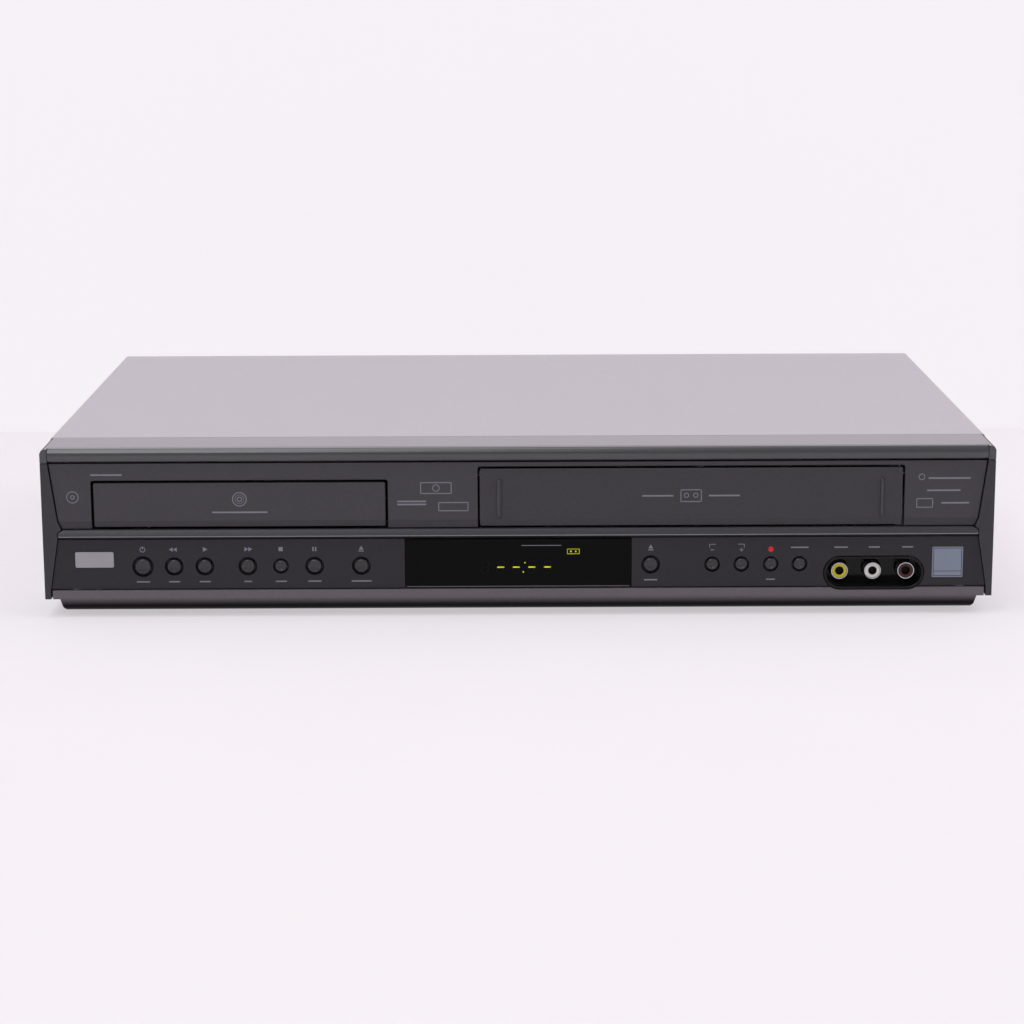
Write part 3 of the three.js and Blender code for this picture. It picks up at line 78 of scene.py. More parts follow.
stand = Vector((-0.0032, -1.3, 0.2984))
focal_length = 92.42
yaw, pitch, roll = 0.0004, 0.2123, 0.0042
ahead = Vector((math.sin(yaw) * math.cos(pitch), math.cos(yaw) * math.cos(pitch), -math.sin(pitch)))
level = Vector((math.cos(yaw), -math.sin(yaw), 0))
below = ahead.cross(level)
right = math.cos(roll) * level + math.sin(roll) * below
down = math.cos(roll) * below - math.sin(roll) * level
camera = bpy.data.objects.new("camera", bpy.data.cameras.new("camera"))
bpy.context.scene.collection.objects.link(camera)
camera.data.sensor_width = 36
camera.data.lens = focal_length
camera.matrix_world = Matrix((
    (right.x, -down.x, -ahead.x, stand.x),
    (right.y, -down.y, -ahead.y, stand.y),
    (right.z, -down.z, -ahead.z, stand.z),
    (0, 0, 0, 1)))
bpy.context.scene.camera = camera


# Floor and backdrop: a table top of smooth near-white paper, and a wall of the same paper close behind
# the player. Both are pale and even, and the table keeps the player's soft shadow.

def linear(hex_colour):
    """The linear values of an sRGB hex colour."""
    shares = [int(hex_colour[i:i + 2], 16) / 255 for i in (1, 3, 5)]
    return [s / 12.92 if s <= 0.04045 else ((s + 0.055) / 1.055) ** 2.4 for s in shares] + [1]


def add(material, kind, sockets=None, **settings):
    """Adds a node: settings are its own properties, and sockets are values or other nodes' outputs."""
    tree = material.node_tree
    made = tree.nodes.new(kind)
    for name, value in settings.items():
        setattr(made, name, value)
    feed(material, made, sockets or {})
    return made


def feed(material, node, sockets):
    """Sets a node's sockets to values or links them to other nodes' outputs."""
    for name, value in sockets.items():
        if isinstance(value, bpy.types.NodeSocket):
            material.node_tree.links.new(value, node.inputs[name])
        else:
            node.inputs[name].default_value = value


def new_material(name, sockets):
    """A material and its Principled shader, with values for those of its sockets that are even all over."""
    material = bpy.data.materials.new(name)
    material.use_nodes = True
    shader = material.node_tree.nodes["Principled BSDF"]
    feed(material, shader, sockets)
    return material, shader


def white_paper(name, even_share, seen_from_behind):
    """White paper: to the camera and in reflections, that share of it is an even white of its own."""
    material, shader = new_material(name, {"Roughness": 0.8, "Specular IOR Level": 0.2})
    place = add(material, "ShaderNodeTexCoord").outputs["Object"]
    clouds = add(material, "ShaderNodeTexNoise", {"Vector": place, "Scale": 9, "Detail": 3})
    tint = add(material, "ShaderNodeMix", {"Factor": clouds.outputs["Fac"], 6: linear("#e6e1e4"),
                                           7: linear("#ebe7ea")}, data_type="RGBA")
    feed(material, shader, {"Base Color": tint.outputs[2]})
    path = add(material, "ShaderNodeLightPath").outputs
    seen = add(material, "ShaderNodeMath", {0: path["Is Camera Ray"], 1: path["Is Glossy Ray"]},
               operation="MAXIMUM")
    looked_at = add(material, "ShaderNodeMath", {0: seen.outputs[0], 1: path["Is Transmission Ray"]},
                    operation="MAXIMUM")
    share = add(material, "ShaderNodeMath", {0: looked_at.outputs[0], 1: even_share}, operation="MULTIPLY")
    even_white = add(material, "ShaderNodeEmission", {"Color": linear("#f9f4f9"), "Strength": 1.0})
    sheet = add(material, "ShaderNodeMixShader", {0: share.outputs[0], 1: shader.outputs[0],
                                                  2: even_white.outputs[0]})
    if not seen_from_behind:
        side = add(material, "ShaderNodeNewGeometry").outputs["Backfacing"]
        clear = add(material, "ShaderNodeBsdfTransparent")
        sheet = add(material, "ShaderNodeMixShader", {0: side, 1: sheet.outputs[0], 2: clear.outputs[0]})
    feed(material, material.node_tree.nodes["Material Output"], {"Surface": sheet.outputs[0]})
    return material


def select_only(*pieces):
    """Leaves edit mode and selects just these pieces, the first of them active."""
    if bpy.context.object and bpy.context.object.mode == "EDIT":
        bpy.ops.object.mode_set(mode="OBJECT")
    bpy.ops.object.select_all(action="DESELECT")
    for piece in pieces:
        piece.select_set(True)
    if pieces:
        bpy.context.view_layer.objects.active = pieces[0]


select_only()
bpy.ops.mesh.primitive_plane_add(size=1, location=(0, -1.05, 0))
table_top = bpy.context.object
table_top.name = "table_top"
table_top.scale = (9, 5.9, 1)
table_top.data.materials.append(white_paper("table_paper", 0.55, True))
bpy.ops.mesh.primitive_plane_add(size=1, location=(0, 0.33, 1.7), rotation=(math.pi / 2, 0, 0))
back_wall = bpy.context.object
back_wall.name = "back_wall"
back_wall.scale = (9, 3.4, 1)
back_wall.data.materials.append(white_paper("wall_paper", 0.9, False))
select_only(table_top, back_wall)
bpy.ops.object.transform_apply()


# Light: soft boxes above, high at the right and in front at the left, a weak one at the right, and an even
# white surround. Colours render about as they are written.

def soft_box(name, place, aim, size, power):
    """A rectangular lamp of that size in metres and power in watts, turned to its aim."""
    lamp = bpy.data.objects.new(name, bpy.data.lights.new(name, "AREA"))
    lamp.data.shape = "RECTANGLE"
    lamp.data.size, lamp.data.size_y = size
    lamp.data.energy = power
    lamp.location = place
    lamp.rotation_euler = (Vector(aim) - Vector(place)).to_track_quat("-Z", "Y").to_euler()
    bpy.context.scene.collection.objects.link(lamp)


soft_box("soft_box_above", (-0.4, -0.35, 1.6), (-0.1, 0, 0), (1.0, 1.2), 9)
soft_box("soft_box_high_right", (1.3, -0.3, 1.3), (0.15, 0, 0.07), (1.0, 1.2), 8)
soft_box("soft_box_front_left", (-0.5, -1.5, 1.35), (-0.1, -0.14, 0.07), (0.8, 0.7), 6.5)
soft_box("soft_box_right", (1.5, -1.2, 0.9), (0, 0, 0.05), (1.0, 1.0), 0.8)
surround = bpy.data.worlds.new("surround")
bpy.context.scene.world = surround
surround.use_nodes = True
surround.node_tree.nodes["Background"].inputs["Color"].default_value = linear("#fbf7fb")
surround.node_tree.nodes["Background"].inputs["Strength"].default_value = 0.5
bpy.context.scene.view_settings.view_transform = "Standard"


# Chassis base: a tray of 1 mm zinc-plated steel sheet, pressed to shape, with standoffs for the boards.
# It carries everything else. The plating is dull silver, faintly rolled in one direction.

def give_surface(material, shader, shades_by, light, dark, relief_by, roughness, spread, strength, distance):
    """Two shades mixed by one pattern, and a roughness and a relief that vary by another one."""
    tint = add(material, "ShaderNodeMix", {"Factor": shades_by, 6: linear(dark), 7: linear(light)},
               data_type="RGBA")
    rough = add(material, "ShaderNodeMapRange", {"Value": relief_by, "To Min": roughness - spread,
                                                 "To Max": roughness + spread})
    relief = add(material, "ShaderNodeBump", {"Height": relief_by, "Strength": strength, "Distance": distance})
    feed(material, shader, {"Base Color": tint.outputs[2], "Roughness": rough.outputs["Result"],
                            "Normal": relief.outputs["Normal"]})


def plated_sheet(name, light, dark, roughness):
    """Zinc-plated steel sheet: metal with faint rolling lines, and patches of duller plating."""
    material, shader = new_material(name, {"Metallic": 1.0})
    place = add(material, "ShaderNodeTexCoord").outputs["Object"]
    # Rolling lines 1.2 mm apart and 60 mm long, drawn coarser than the real 0.1 mm so that they show.
    along = add(material, "ShaderNodeMapping", {
        "Vector": place, "Scale": (1000 / 60, 1000 / 1.2, 1000 / 1.2)})
    rolled = add(material, "ShaderNodeTexNoise", {"Vector": along.outputs["Vector"], "Scale": 1, "Detail": 2})
    patches = add(material, "ShaderNodeTexNoise", {"Vector": place, "Scale": 1000 / 35, "Detail": 4})
    give_surface(material, shader, patches.outputs["Fac"], light, dark,
                 rolled.outputs["Fac"], roughness, spread=0.08, strength=0.12, distance=0.0001)
    return material


def apply_modifier(piece, kind, **settings):
    """Adds a modifier to the piece and applies it."""
    select_only(piece)
    modifier = piece.modifiers.new(kind.lower(), kind)
    for name, value in settings.items():
        setattr(modifier, name, value)
    bpy.ops.object.modifier_apply(modifier=modifier.name)


def smooth(piece):
    """Shades the piece smooth but for its sharp edges, and keeps its flat faces flat."""
    select_only(piece)
    bpy.ops.object.shade_smooth_by_angle(angle=math.radians(32))
    apply_modifier(piece, "WEIGHTED_NORMAL", keep_sharp=True)


def node_copy(node, material):
    """A copy of a CAD node with its points merged and its flat faces whole, in that material."""
    piece = bpy.data.objects.new(node + "_piece", frame["nodes"][node].data.copy())
    bpy.context.scene.collection.objects.link(piece)
    piece.data.materials.clear()
    piece.data.materials.append(material)
    select_only(piece)
    bpy.ops.object.mode_set(mode="EDIT")
    bpy.ops.mesh.select_all(action="SELECT")
    bpy.ops.mesh.remove_doubles(threshold=0.000001)
    bpy.ops.mesh.dissolve_limited(angle_limit=math.radians(0.5))
    bpy.ops.object.mode_set(mode="OBJECT")
    return piece


def soften(piece, edge, segments=2):
    """Rounds the piece's sharp edges by that many mm, and shades it smooth."""
    apply_modifier(piece, "BEVEL", width=edge / 1000, segments=segments, limit_method="ANGLE",
                   angle_limit=math.radians(40))
    smooth(piece)


def goes_with(piece, node):
    """The piece moves with that CAD node's body."""
    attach(piece, frame["nodes"][node]["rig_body"])


def stand_for(piece, node):
    """The piece takes that CAD node's place."""
    goes_with(piece, node)
    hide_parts(node)


def softened(node, material, edge, segments=2):
    """The node's own shape with its edges rounded by that many mm, in that material."""
    piece = node_copy(node, material)
    soften(piece, edge, segments)
    stand_for(piece, node)


chassis_zinc = plated_sheet("zinc_plated_steel", "#b9bbbf", "#a3a5a9", 0.42)
softened("chassis_base", chassis_zinc, edge=0.2)


# Feet: four round rubber pads, pressed into the base. They are matt black and slightly dusty, with a
# rounded rim and a dished underside.

def grained(name, light, dark, roughness, grain, depth, sockets=None):
    """Moulded plastic or rubber: two near shades in wide patches, and a fine grain of that size in mm."""
    material, shader = new_material(name, sockets or {})
    place = add(material, "ShaderNodeTexCoord").outputs["Object"]
    patches = add(material, "ShaderNodeTexNoise", {"Vector": place, "Scale": 1000 / 45, "Detail": 3})
    specks = add(material, "ShaderNodeTexNoise", {"Vector": place, "Scale": 1000 / grain, "Detail": 1})
    give_surface(material, shader, patches.outputs["Fac"], light, dark,
                 specks.outputs["Fac"], roughness, spread=0.05, strength=depth, distance=grain / 4000)
    return material


def turned(name, material, place, toward, rings, sides=64):
    """Turns a solid about an axis from that place. Rings are radius and height in mm, foot first."""
    select_only()
    bpy.ops.mesh.primitive_circle_add(vertices=sides, radius=rings[0][0] / 1000, fill_type="NGON")
    piece = bpy.context.object
    piece.name = piece.data.name = name
    bpy.ops.object.mode_set(mode="EDIT")
    bpy.ops.mesh.select_all(action="SELECT")
    for (before, foot), (radius, top) in zip(rings, rings[1:]):
        bpy.ops.mesh.extrude_region_move(TRANSFORM_OT_translate={"value": (0, 0, (top - foot) / 1000)})
        bpy.ops.transform.resize(value=(radius / before, radius / before, 1), center_override=(0, 0, 0))
    bpy.ops.mesh.select_all(action="SELECT")
    bpy.ops.mesh.normals_make_consistent(inside=False)
    bpy.ops.object.mode_set(mode="OBJECT")
    axis = Vector(toward).normalized()
    turn = axis.to_track_quat("Z", "Y").to_matrix().to_4x4()
    piece.matrix_world = Matrix.Translation(Vector(place) + axis * rings[0][1] / 1000) @ turn
    bpy.ops.object.transform_apply()
    piece.data.materials.append(material)
    smooth(piece)
    return piece


rubber = grained("black_rubber", "#1e1e1f", "#161617", 0.82, 0.5, 0.35, {"Specular IOR Level": 0.3})
for corner in ("front_left", "front_right", "rear_left", "rear_right"):
    low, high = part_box("foot_" + corner)
    foot_radius = (high.x - low.x) * 500
    foot_height = (high.z - low.z) * 1000
    foot_top = ((low.x + high.x) / 2, (low.y + high.y) / 2, high.z)
    foot = turned("rubber_foot_" + corner, rubber, foot_top, (0, 0, -1), [
        (foot_radius, 0), (foot_radius, foot_height - 1.2), (foot_radius - 0.35, foot_height - 0.35),
        (foot_radius - 1.2, foot_height), (foot_radius - 3, foot_height),
        (foot_radius - 3.6, foot_height - 0.8), (2, foot_height - 0.8), (1.4, foot_height - 1.6)])
    stand_for(foot, "foot_" + corner)


# Boards: main board, power supply and key board, 1.6 mm glass-epoxy sheet with green solder mask over
# copper tracks. Chips of black epoxy, sleeved capacitors, a taped transformer, a heat sink and key
# switches are soldered on.

def colour_faces(piece, material, test):
    """Gives that material to the faces that the test picks by their middle and normal."""
    piece.data.materials.append(material)
    for face in piece.data.polygons:
        if test(face.center, face.normal):
            face.material_index = len(piece.data.materials) - 1


# Solder mask: gloss green, lighter where it covers a track.
solder_mask, mask_shader = new_material("green_solder_mask", {"Roughness": 0.32})
mask_place = add(solder_mask, "ShaderNodeTexCoord").outputs["Object"]
# Tracks 1.3 mm apart, in blocks of 9 mm.
tracks = add(solder_mask, "ShaderNodeTexBrick", {
    "Vector": mask_place, "Scale": 1000 / 9, "Mortar Size": 0.02, "Color1": linear("#2b5a3c"),
    "Color2": linear("#27523a"), "Mortar": linear("#3c7450"), "Brick Width": 0.9, "Row Height": 0.15,
}, offset=0.37, offset_frequency=3)
feed(solder_mask, mask_shader, {"Base Color": tracks.outputs["Color"]})

chip_epoxy = grained("black_chip_epoxy", "#1d1d1f", "#17171a", 0.55, 0.3, 0.2)
sleeve = grained("blue_capacitor_sleeve", "#23304f", "#1d2944", 0.3, 1.5, 0.05)
winding_tape = grained("yellow_winding_tape", "#c9ab3c", "#bb9d33", 0.4, 2.0, 0.1)
sink_aluminium = plated_sheet("extruded_aluminium", "#c9cbce", "#bbbdc1", 0.4)
# What stands more than 0.05 mm off a board belongs to the parts that are soldered on it.
off_board = 0.0016 + 0.00005
board_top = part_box("main_board")[0].z + off_board
loader_x = (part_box("power_supply")[0].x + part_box("power_supply")[1].x) / 2

# The main board has its chips in a row along the middle, and capacitors on both sides of them.
chips_reach, capacitor_height = 0.0105, 0.01
main_board = node_copy("main_board", solder_mask)
colour_faces(main_board, chip_epoxy, lambda c, n: c.z > board_top and abs(c.x - loader_x) < chips_reach)
colour_faces(main_board, sleeve, lambda c, n: c.z > board_top and abs(c.x - loader_x) > chips_reach)
colour_faces(main_board, sink_aluminium, lambda c, n: c.z > board_top + capacitor_height and n.z > 0.9)
soften(main_board, 0.2)
stand_for(main_board, "main_board")

# The power supply has its capacitors to the left of the transformer, and the heat sink to its right.
transformer_x, transformer_reach = loader_x - 0.0045, 0.014
capacitors_end, heat_sink_start = loader_x - 0.019, loader_x + 0.0105
power_supply = node_copy("power_supply", solder_mask)
colour_faces(power_supply, winding_tape,
             lambda c, n: c.z > board_top and abs(c.x - transformer_x) < transformer_reach)
colour_faces(power_supply, sleeve, lambda c, n: c.z > board_top and c.x < capacitors_end)
colour_faces(power_supply, sink_aluminium, lambda c, n: c.z > board_top and c.x > heat_sink_start)
soften(power_supply, 0.2)
stand_for(power_supply, "power_supply")

key_board = node_copy("front_board", solder_mask)
key_board_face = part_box("front_board")[1].y - off_board
colour_faces(key_board, chip_epoxy, lambda c, n: c.y < key_board_face)
soften(key_board, 0.2)
stand_for(key_board, "front_board")


# Disc side: a black ABS loader frame carries the tray, the swinging drive deck of plated steel with its
# turntable and pickup, and a steel bridge from which the white acetal clamper hangs.

spin = {joint["child"]: (Vector(joint["pos_m"]), Vector(joint["axis"]))
        for joint in frame["joints"] if joint["type"] == "hinge"}
black_abs = grained("black_abs", "#232325", "#1c1c1e", 0.46, 0.5, 0.25)
acetal = grained("white_acetal", "#e2e1dc", "#d6d5cf", 0.38, 0.6, 0.15)
softened("loader_frame", black_abs, edge=0.25)
softened("clamp_bridge", chassis_zinc, edge=0.1)
softened("drive_deck", chassis_zinc, edge=0.15)
softened("tray_gear", acetal, edge=0.1)

turntable = turned("turntable_piece", black_abs, *spin["turntable"], [
    (1.2, -5.5), (1.2, 3.3), (2.4, 3.3), (2.4, 12.9), (13.7, 12.9), (14, 13.2), (14, 14.6), (13.7, 14.9),
    (13.2, 14.9), (9.4, 14.9), (9.2, 14.8), (7.5, 14.8), (7.3, 14.9), (7.1, 15.5), (5.6, 16.7), (5.3, 16.9),
    (4, 16.9), (3.8, 16.5), (1.6, 16.5), (1.5, 16.8)])
table_place, table_axis = spin["turntable"]


def off_table_axis(point):
    """How far a point is from the turntable's axis."""
    return (point - table_place).cross(table_axis).length


rubber_inner, rubber_outer = 0.0093, 0.0133
colour_faces(turntable, rubber,
             lambda c, n: n.dot(table_axis) > 0.9 and rubber_inner < off_table_axis(c) < rubber_outer)
stand_for(turntable, "turntable")

clamper = turned("clamper_piece", acetal, *spin["clamper"], [
    (13.7, -2.8), (14, -2.5), (14, 0.1), (13.7, 0.4), (11, 0.4), (11, 2.6), (13.8, 2.6), (14, 2.8), (14, 3.4),
    (13.8, 3.6), (10.5, 3.6), (10.2, 3.2), (6.5, 3.2), (6.2, 3.6), (2.2, 3.6), (2, 3.1)])
stand_for(clamper, "clamper")

pickup_sled = node_copy("pickup_sled", black_abs)
soften(pickup_sled, 0.3)
lens_glass = grained("coated_lens_glass", "#31405f", "#2a3756", 0.06, 0.8, 0.0, {"Coat Weight": 1.0})
lens_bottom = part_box("pickup_sled")[1].z - 0.0016
lens_from_axis = 0.023
colour_faces(pickup_sled, lens_glass, lambda c, n: c.z > lens_bottom and off_table_axis(c) > lens_from_axis)
stand_for(pickup_sled, "pickup_sled")


def cut_away(piece, *cutters):
    """Takes the cutters' shapes out of the piece, and the cutters out of the scene."""
    for cutter in cutters:
        apply_modifier(piece, "BOOLEAN", operation="DIFFERENCE", object=cutter, solver="EXACT")
        bpy.data.objects.remove(cutter)


# The tray is moulded ABS with a well for a 120 mm disc and a lower one for an 80 mm disc. The wide cutter
# goes 0.06 mm below the floor of the solid's own well, because a cut flush with it closed the slot.
disc_place = (loader_x, spin["clamper"][0].y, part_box("disc_tray")[1].z)
disc_tray = node_copy("disc_tray", black_abs)
cut_away(disc_tray,
         turned("disc_well", black_abs, disc_place, (0, 0, 1), [(60.65, -4.56), (60.65, 1)], 128),
         turned("small_disc_well", black_abs, disc_place, (0, 0, 1), [(40.6, -5.4), (40.6, 1)], 96))
soften(disc_tray, 0.35)
stand_for(disc_tray, "disc_tray")


# Cassette side: a plated deck plate with side brackets, the cassette's holder and slider, and the
# polished head drum with its reels, guides, capstan and rubber roller.

turned_steel = plated_sheet("turned_steel", "#d2d4d8", "#c4c6cb", 0.24)
turned_brass = plated_sheet("turned_brass", "#cdb275", "#bfa468", 0.3)
for sheet in ("deck_plate", "carriage_slider", "cassette_holder", "pinch_arm"):
    softened(sheet, chassis_zinc, edge=0.15)
for part in ("lower_drum", "entry_guide", "exit_guide"):
    softened(part, turned_steel, edge=0.2)
for part in ("supply_reel", "takeup_reel"):
    softened(part, acetal, edge=0.3)

head_drum = turned("head_drum_piece", turned_steel, *spin["head_drum"], [
    (2, 8.8), (2, 15.1), (30.8, 15.1), (31, 15.3), (31, 19), (30.8, 19.1), (30.8, 19.3), (31, 19.4),
    (31, 29.5), (30.6, 30.6), (29.5, 31.1), (24, 31.1), (23.8, 30.6), (12.5, 30.6), (12.3, 31.1),
    (10.33, 31.1), (10.2, 29.6), (6, 29.6), (5.9, 30.8), (2.6, 30.8), (2.4, 30.2)], 96)
stand_for(head_drum, "head_drum")
capstan = turned("capstan_piece", turned_steel, *spin["capstan"], [
    (23.7, -12), (24, -11.7), (24, -10.4), (23.4, -10), (23.4, -9.5), (24, -9.1), (24, -7.8),
    (23.7, -7.5), (19, -7.5), (18.8, -7.9), (6.2, -7.9), (6, -7.5), (1.5, -7.5), (1.5, 24.9), (1.2, 25.2)])
flywheel_top = spin["capstan"][0].z - 0.0074
colour_faces(capstan, turned_brass, lambda c, n: c.z < flywheel_top)
stand_for(capstan, "capstan")
pinch_roller = turned("pinch_roller_piece", rubber, *spin["pinch_roller"], [
    (5.8, -8), (6, -7.8), (6, 7.8), (5.8, 8), (3.2, 8), (3.1, 7.6)])
core_shows_above = 0.041
colour_faces(pinch_roller, acetal, lambda c, n: abs(n.z) > 0.9 and c.z > core_shows_above)
stand_for(pinch_roller, "pinch_roller")


# Front frame: one ABS moulding. Its cheeks are painted dark grey, its skirt a warmer grey, and the strip of
# top behind the trim in a darker copy of the cover's colour, as painted shade. Its foot is rounded, and a
# groove crosses each cheek.

def paint(name, light, dark, roughness, sockets=None):
    """Satin paint: fine metal flakes in it, and an orange-peel surface, waves of 1.5 mm."""
    material, shader = new_material(name, sockets or {})
    place = add(material, "ShaderNodeTexCoord").outputs["Object"]
    # Flakes 0.35 mm across, drawn coarser than the real 0.05 mm so that they show.
    flakes = add(material, "ShaderNodeTexVoronoi", {"Vector": place, "Scale": 1000 / 0.35})
    peel = add(material, "ShaderNodeTexNoise", {"Vector": place, "Scale": 1000 / 1.5, "Detail": 1})
    give_surface(material, shader, flakes.outputs["Color"], light, dark,
                 peel.outputs["Fac"], roughness, spread=0.04, strength=0.06, distance=0.0002)
    return material


def shaded_off(material, axis, start, end, hex_colour, share=1.0):
    """Blends the material's colour into another one along an axis, between two places in metres."""
    shader = material.node_tree.nodes["Principled BSDF"]
    own_tint = shader.inputs["Base Color"].links[0].from_socket
    place = add(material, "ShaderNodeTexCoord").outputs["Object"]
    along = add(material, "ShaderNodeSeparateXYZ", {"Vector": place}).outputs[axis]
    blend = add(material, "ShaderNodeMapRange", {"Value": along, "From Min": start, "From Max": end,
                                                 "To Max": share}, interpolation_type="SMOOTHSTEP")
    tint = add(material, "ShaderNodeMix", {"Factor": blend.outputs["Result"], 6: own_tint,
                                           7: linear(hex_colour)}, data_type="RGBA")
    feed(material, shader, {"Base Color": tint.outputs[2]})


def block(name, low, high):
    """A box between two corners, as a start for a piece or a cutter."""
    select_only()
    low, high = Vector(low), Vector(high)
    bpy.ops.mesh.primitive_cube_add(size=1, location=(low + high) / 2)
    made = bpy.context.object
    made.name = made.data.name = name
    made.scale = high - low
    bpy.ops.object.transform_apply()
    return made


def edit(piece, faces=None, edges=None):
    """Goes into edit mode with only the faces or edges selected that the test picks by their place."""
    select_only(piece)
    mesh = piece.data
    for group in (mesh.vertices, mesh.edges, mesh.polygons):
        for part in group:
            part.select = False
    if faces:
        for face in mesh.polygons:
            face.select = bool(faces(face.center, face.normal))
    if edges:
        for edge in mesh.edges:
            start, end = (mesh.vertices[i].co for i in edge.vertices)
            edge.select = bool(edges(start, end))
    bpy.ops.object.mode_set(mode="EDIT")
    bpy.ops.mesh.select_mode(type="FACE" if faces else "EDGE")


def rounded(piece, edges, width, segments=3):
    """Bevels the edges that the test picks by their two ends, by that many mm."""
    edit(piece, edges=edges)
    bpy.ops.mesh.bevel(offset=width / 1000, segments=segments, affect="EDGES")
    bpy.ops.object.mode_set(mode="OBJECT")


dull = {"Specular IOR Level": 0.25}
dark_grey = paint("dark_grey_paint", "#454348", "#3d3b40", 0.4, dull)
cheek_grey = paint("cheek_grey_paint", "#3e3c40", "#363438", 0.4, dull)
warm_grey = paint("warm_grey_paint", "#6e686e", "#645e64", 0.4, {"Specular IOR Level": 0.08})
# Painted shade: the strip of top takes a darker copy of the cover's paint.
shaded_mauve_paint = paint("shaded_silver_mauve_paint", "#938c95", "#89828b", 0.38)
frame_low, frame_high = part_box("front_frame")
# Painted shade: the skirt's colour darkens to near black towards its foot, and the paint beside the seam
# between frame and cover is darkened.
foot_shade_start, foot_shade_full = 0.0098, 0.0052
shaded_off(warm_grey, "Z", foot_shade_start, foot_shade_full, "#0b0a0b")
cover_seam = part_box("top_cover")[0].y
seam_shade, seam_shade_share = "#5b575d", 0.8
shaded_off(shaded_mauve_paint, "Y", cover_seam - 0.0012, cover_seam - 0.0005, seam_shade, seam_shade_share)
trim_gloss = grained("silver_grey_gloss", "#4f5052", "#48494b", 0.3, 0.8, 0.0, {
    "Metallic": 0.7, "Coat Weight": 0.4, "Coat Roughness": 0.22})
seam_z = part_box("top_trim")[0].z - 0.0002
front_frame = node_copy("front_frame", cheek_grey)
groove_inner, groove_outer, groove_depth, groove_half = 0.2075, 0.217, 0.0006, 0.00025
for side in (-1, 1):
    start, end = sorted((side * groove_inner, side * groove_outer))
    cut_away(front_frame, block("groove", (start, frame_low.y - 0.001, seam_z - groove_half),
                                (end, frame_low.y + groove_depth, seam_z + groove_half)))
skirt_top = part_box("key_panel")[0].z - 0.0002
skirt_reach, strip_reach, trim_reach, trim_back = 0.2117, 0.2135, 0.2115, -0.136
colour_faces(front_frame, warm_grey, lambda c, n: abs(c.x) < skirt_reach and c.z < skirt_top)
colour_faces(front_frame, shaded_mauve_paint,
             lambda c, n: abs(c.x) < strip_reach and n.z > 0.5 and c.z > frame_high.z - 0.001)
colour_faces(front_frame, trim_gloss,
             lambda c, n: abs(c.x) > trim_reach and c.z > seam_z + 0.0002 and c.y < trim_back)
# The skirt's foot: its long edges across the player, low down and near the front.
foot_edge_length, foot_edge_top, foot_edge_back = 0.3, 0.0085, frame_low.y + 0.0055
rounded(front_frame, lambda a, b: (
    abs(a.z - b.z) < 0.00001 and abs(a.y - b.y) < 0.00001 and abs(a.x - b.x) > foot_edge_length
    and a.z < foot_edge_top and a.y < foot_edge_back), 1.3, 4)
soften(front_frame, 0.4, 3)
stand_for(front_frame, "front_frame")


# Top trim: a strip of gloss grey ABS along the upper front edge, rounded to the front, and flat behind
# where it is clipped to the front frame.

trim_low, trim_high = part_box("top_trim")
trim_radius = (trim_high.z - trim_low.z) / 2
trim_bulge = 0.0022
trim_spine = Vector((trim_low.x, trim_low.y + trim_bulge, (trim_low.z + trim_high.z) / 2))
top_trim = turned("top_trim_piece", trim_gloss, trim_spine, (1, 0, 0), [
    (trim_radius * 1000, 0), (trim_radius * 1000, (trim_high.x - trim_low.x) * 1000)])
edit(top_trim, faces=lambda c, n: True)
bpy.ops.transform.resize(value=(1, trim_bulge / trim_radius, 1), center_override=trim_spine)
bpy.ops.mesh.bisect(plane_co=trim_spine, plane_no=(0, 1, 0), use_fill=True, clear_outer=True)
bpy.ops.object.mode_set(mode="OBJECT")
edit(top_trim, faces=lambda c, n: n.y > 0.99)
bpy.ops.mesh.extrude_region_move(TRANSFORM_OT_translate={"value": (0, trim_high.y - trim_spine.y, 0)})
bpy.ops.object.mode_set(mode="OBJECT")
smooth(top_trim)
stand_for(top_trim, "top_trim")


# Door panel and doors: the upper front panel with its tray door and cassette door, satin grey ABS with a
# crease along them, below which the faces lean back and are painted darker as shade. The doors have narrow
# gaps round them, whose edges are painted near black as shade.

door_grey = paint("door_grey_paint", "#403e42", "#38363a", 0.38, dull)
shaded_strip_grey = paint("shaded_strip_grey_paint", "#3e3b40", "#363438", 0.4, dull)
gap_shade_edge = grained("black_gap_shade", "#0c0c0d", "#080809", 0.6, 0.5, 0.1, dull)
for node, finish in (("door_panel", dark_grey), ("disc_door", dark_grey), ("cassette_door", door_grey)):
    leaf = node_copy(node, finish)
    # Painted shade: the faces below the crease, which look down, get a darker grey.
    colour_faces(leaf, shaded_strip_grey, lambda c, n: n.y < -0.5 and n.z < -0.03)
    leaf_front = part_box(node)[0].y
    # Painted shade: the edge faces round the gaps, and the bevels made on them, are near black.
    colour_faces(leaf, gap_shade_edge, lambda c, n: n.y > -0.5 or c.y > leaf_front + 0.003)
    apply_modifier(leaf, "BEVEL", width=0.0003, segments=3, limit_method="ANGLE",
                   angle_limit=math.radians(40), material=2)
    smooth(leaf)
    stand_for(leaf, node)

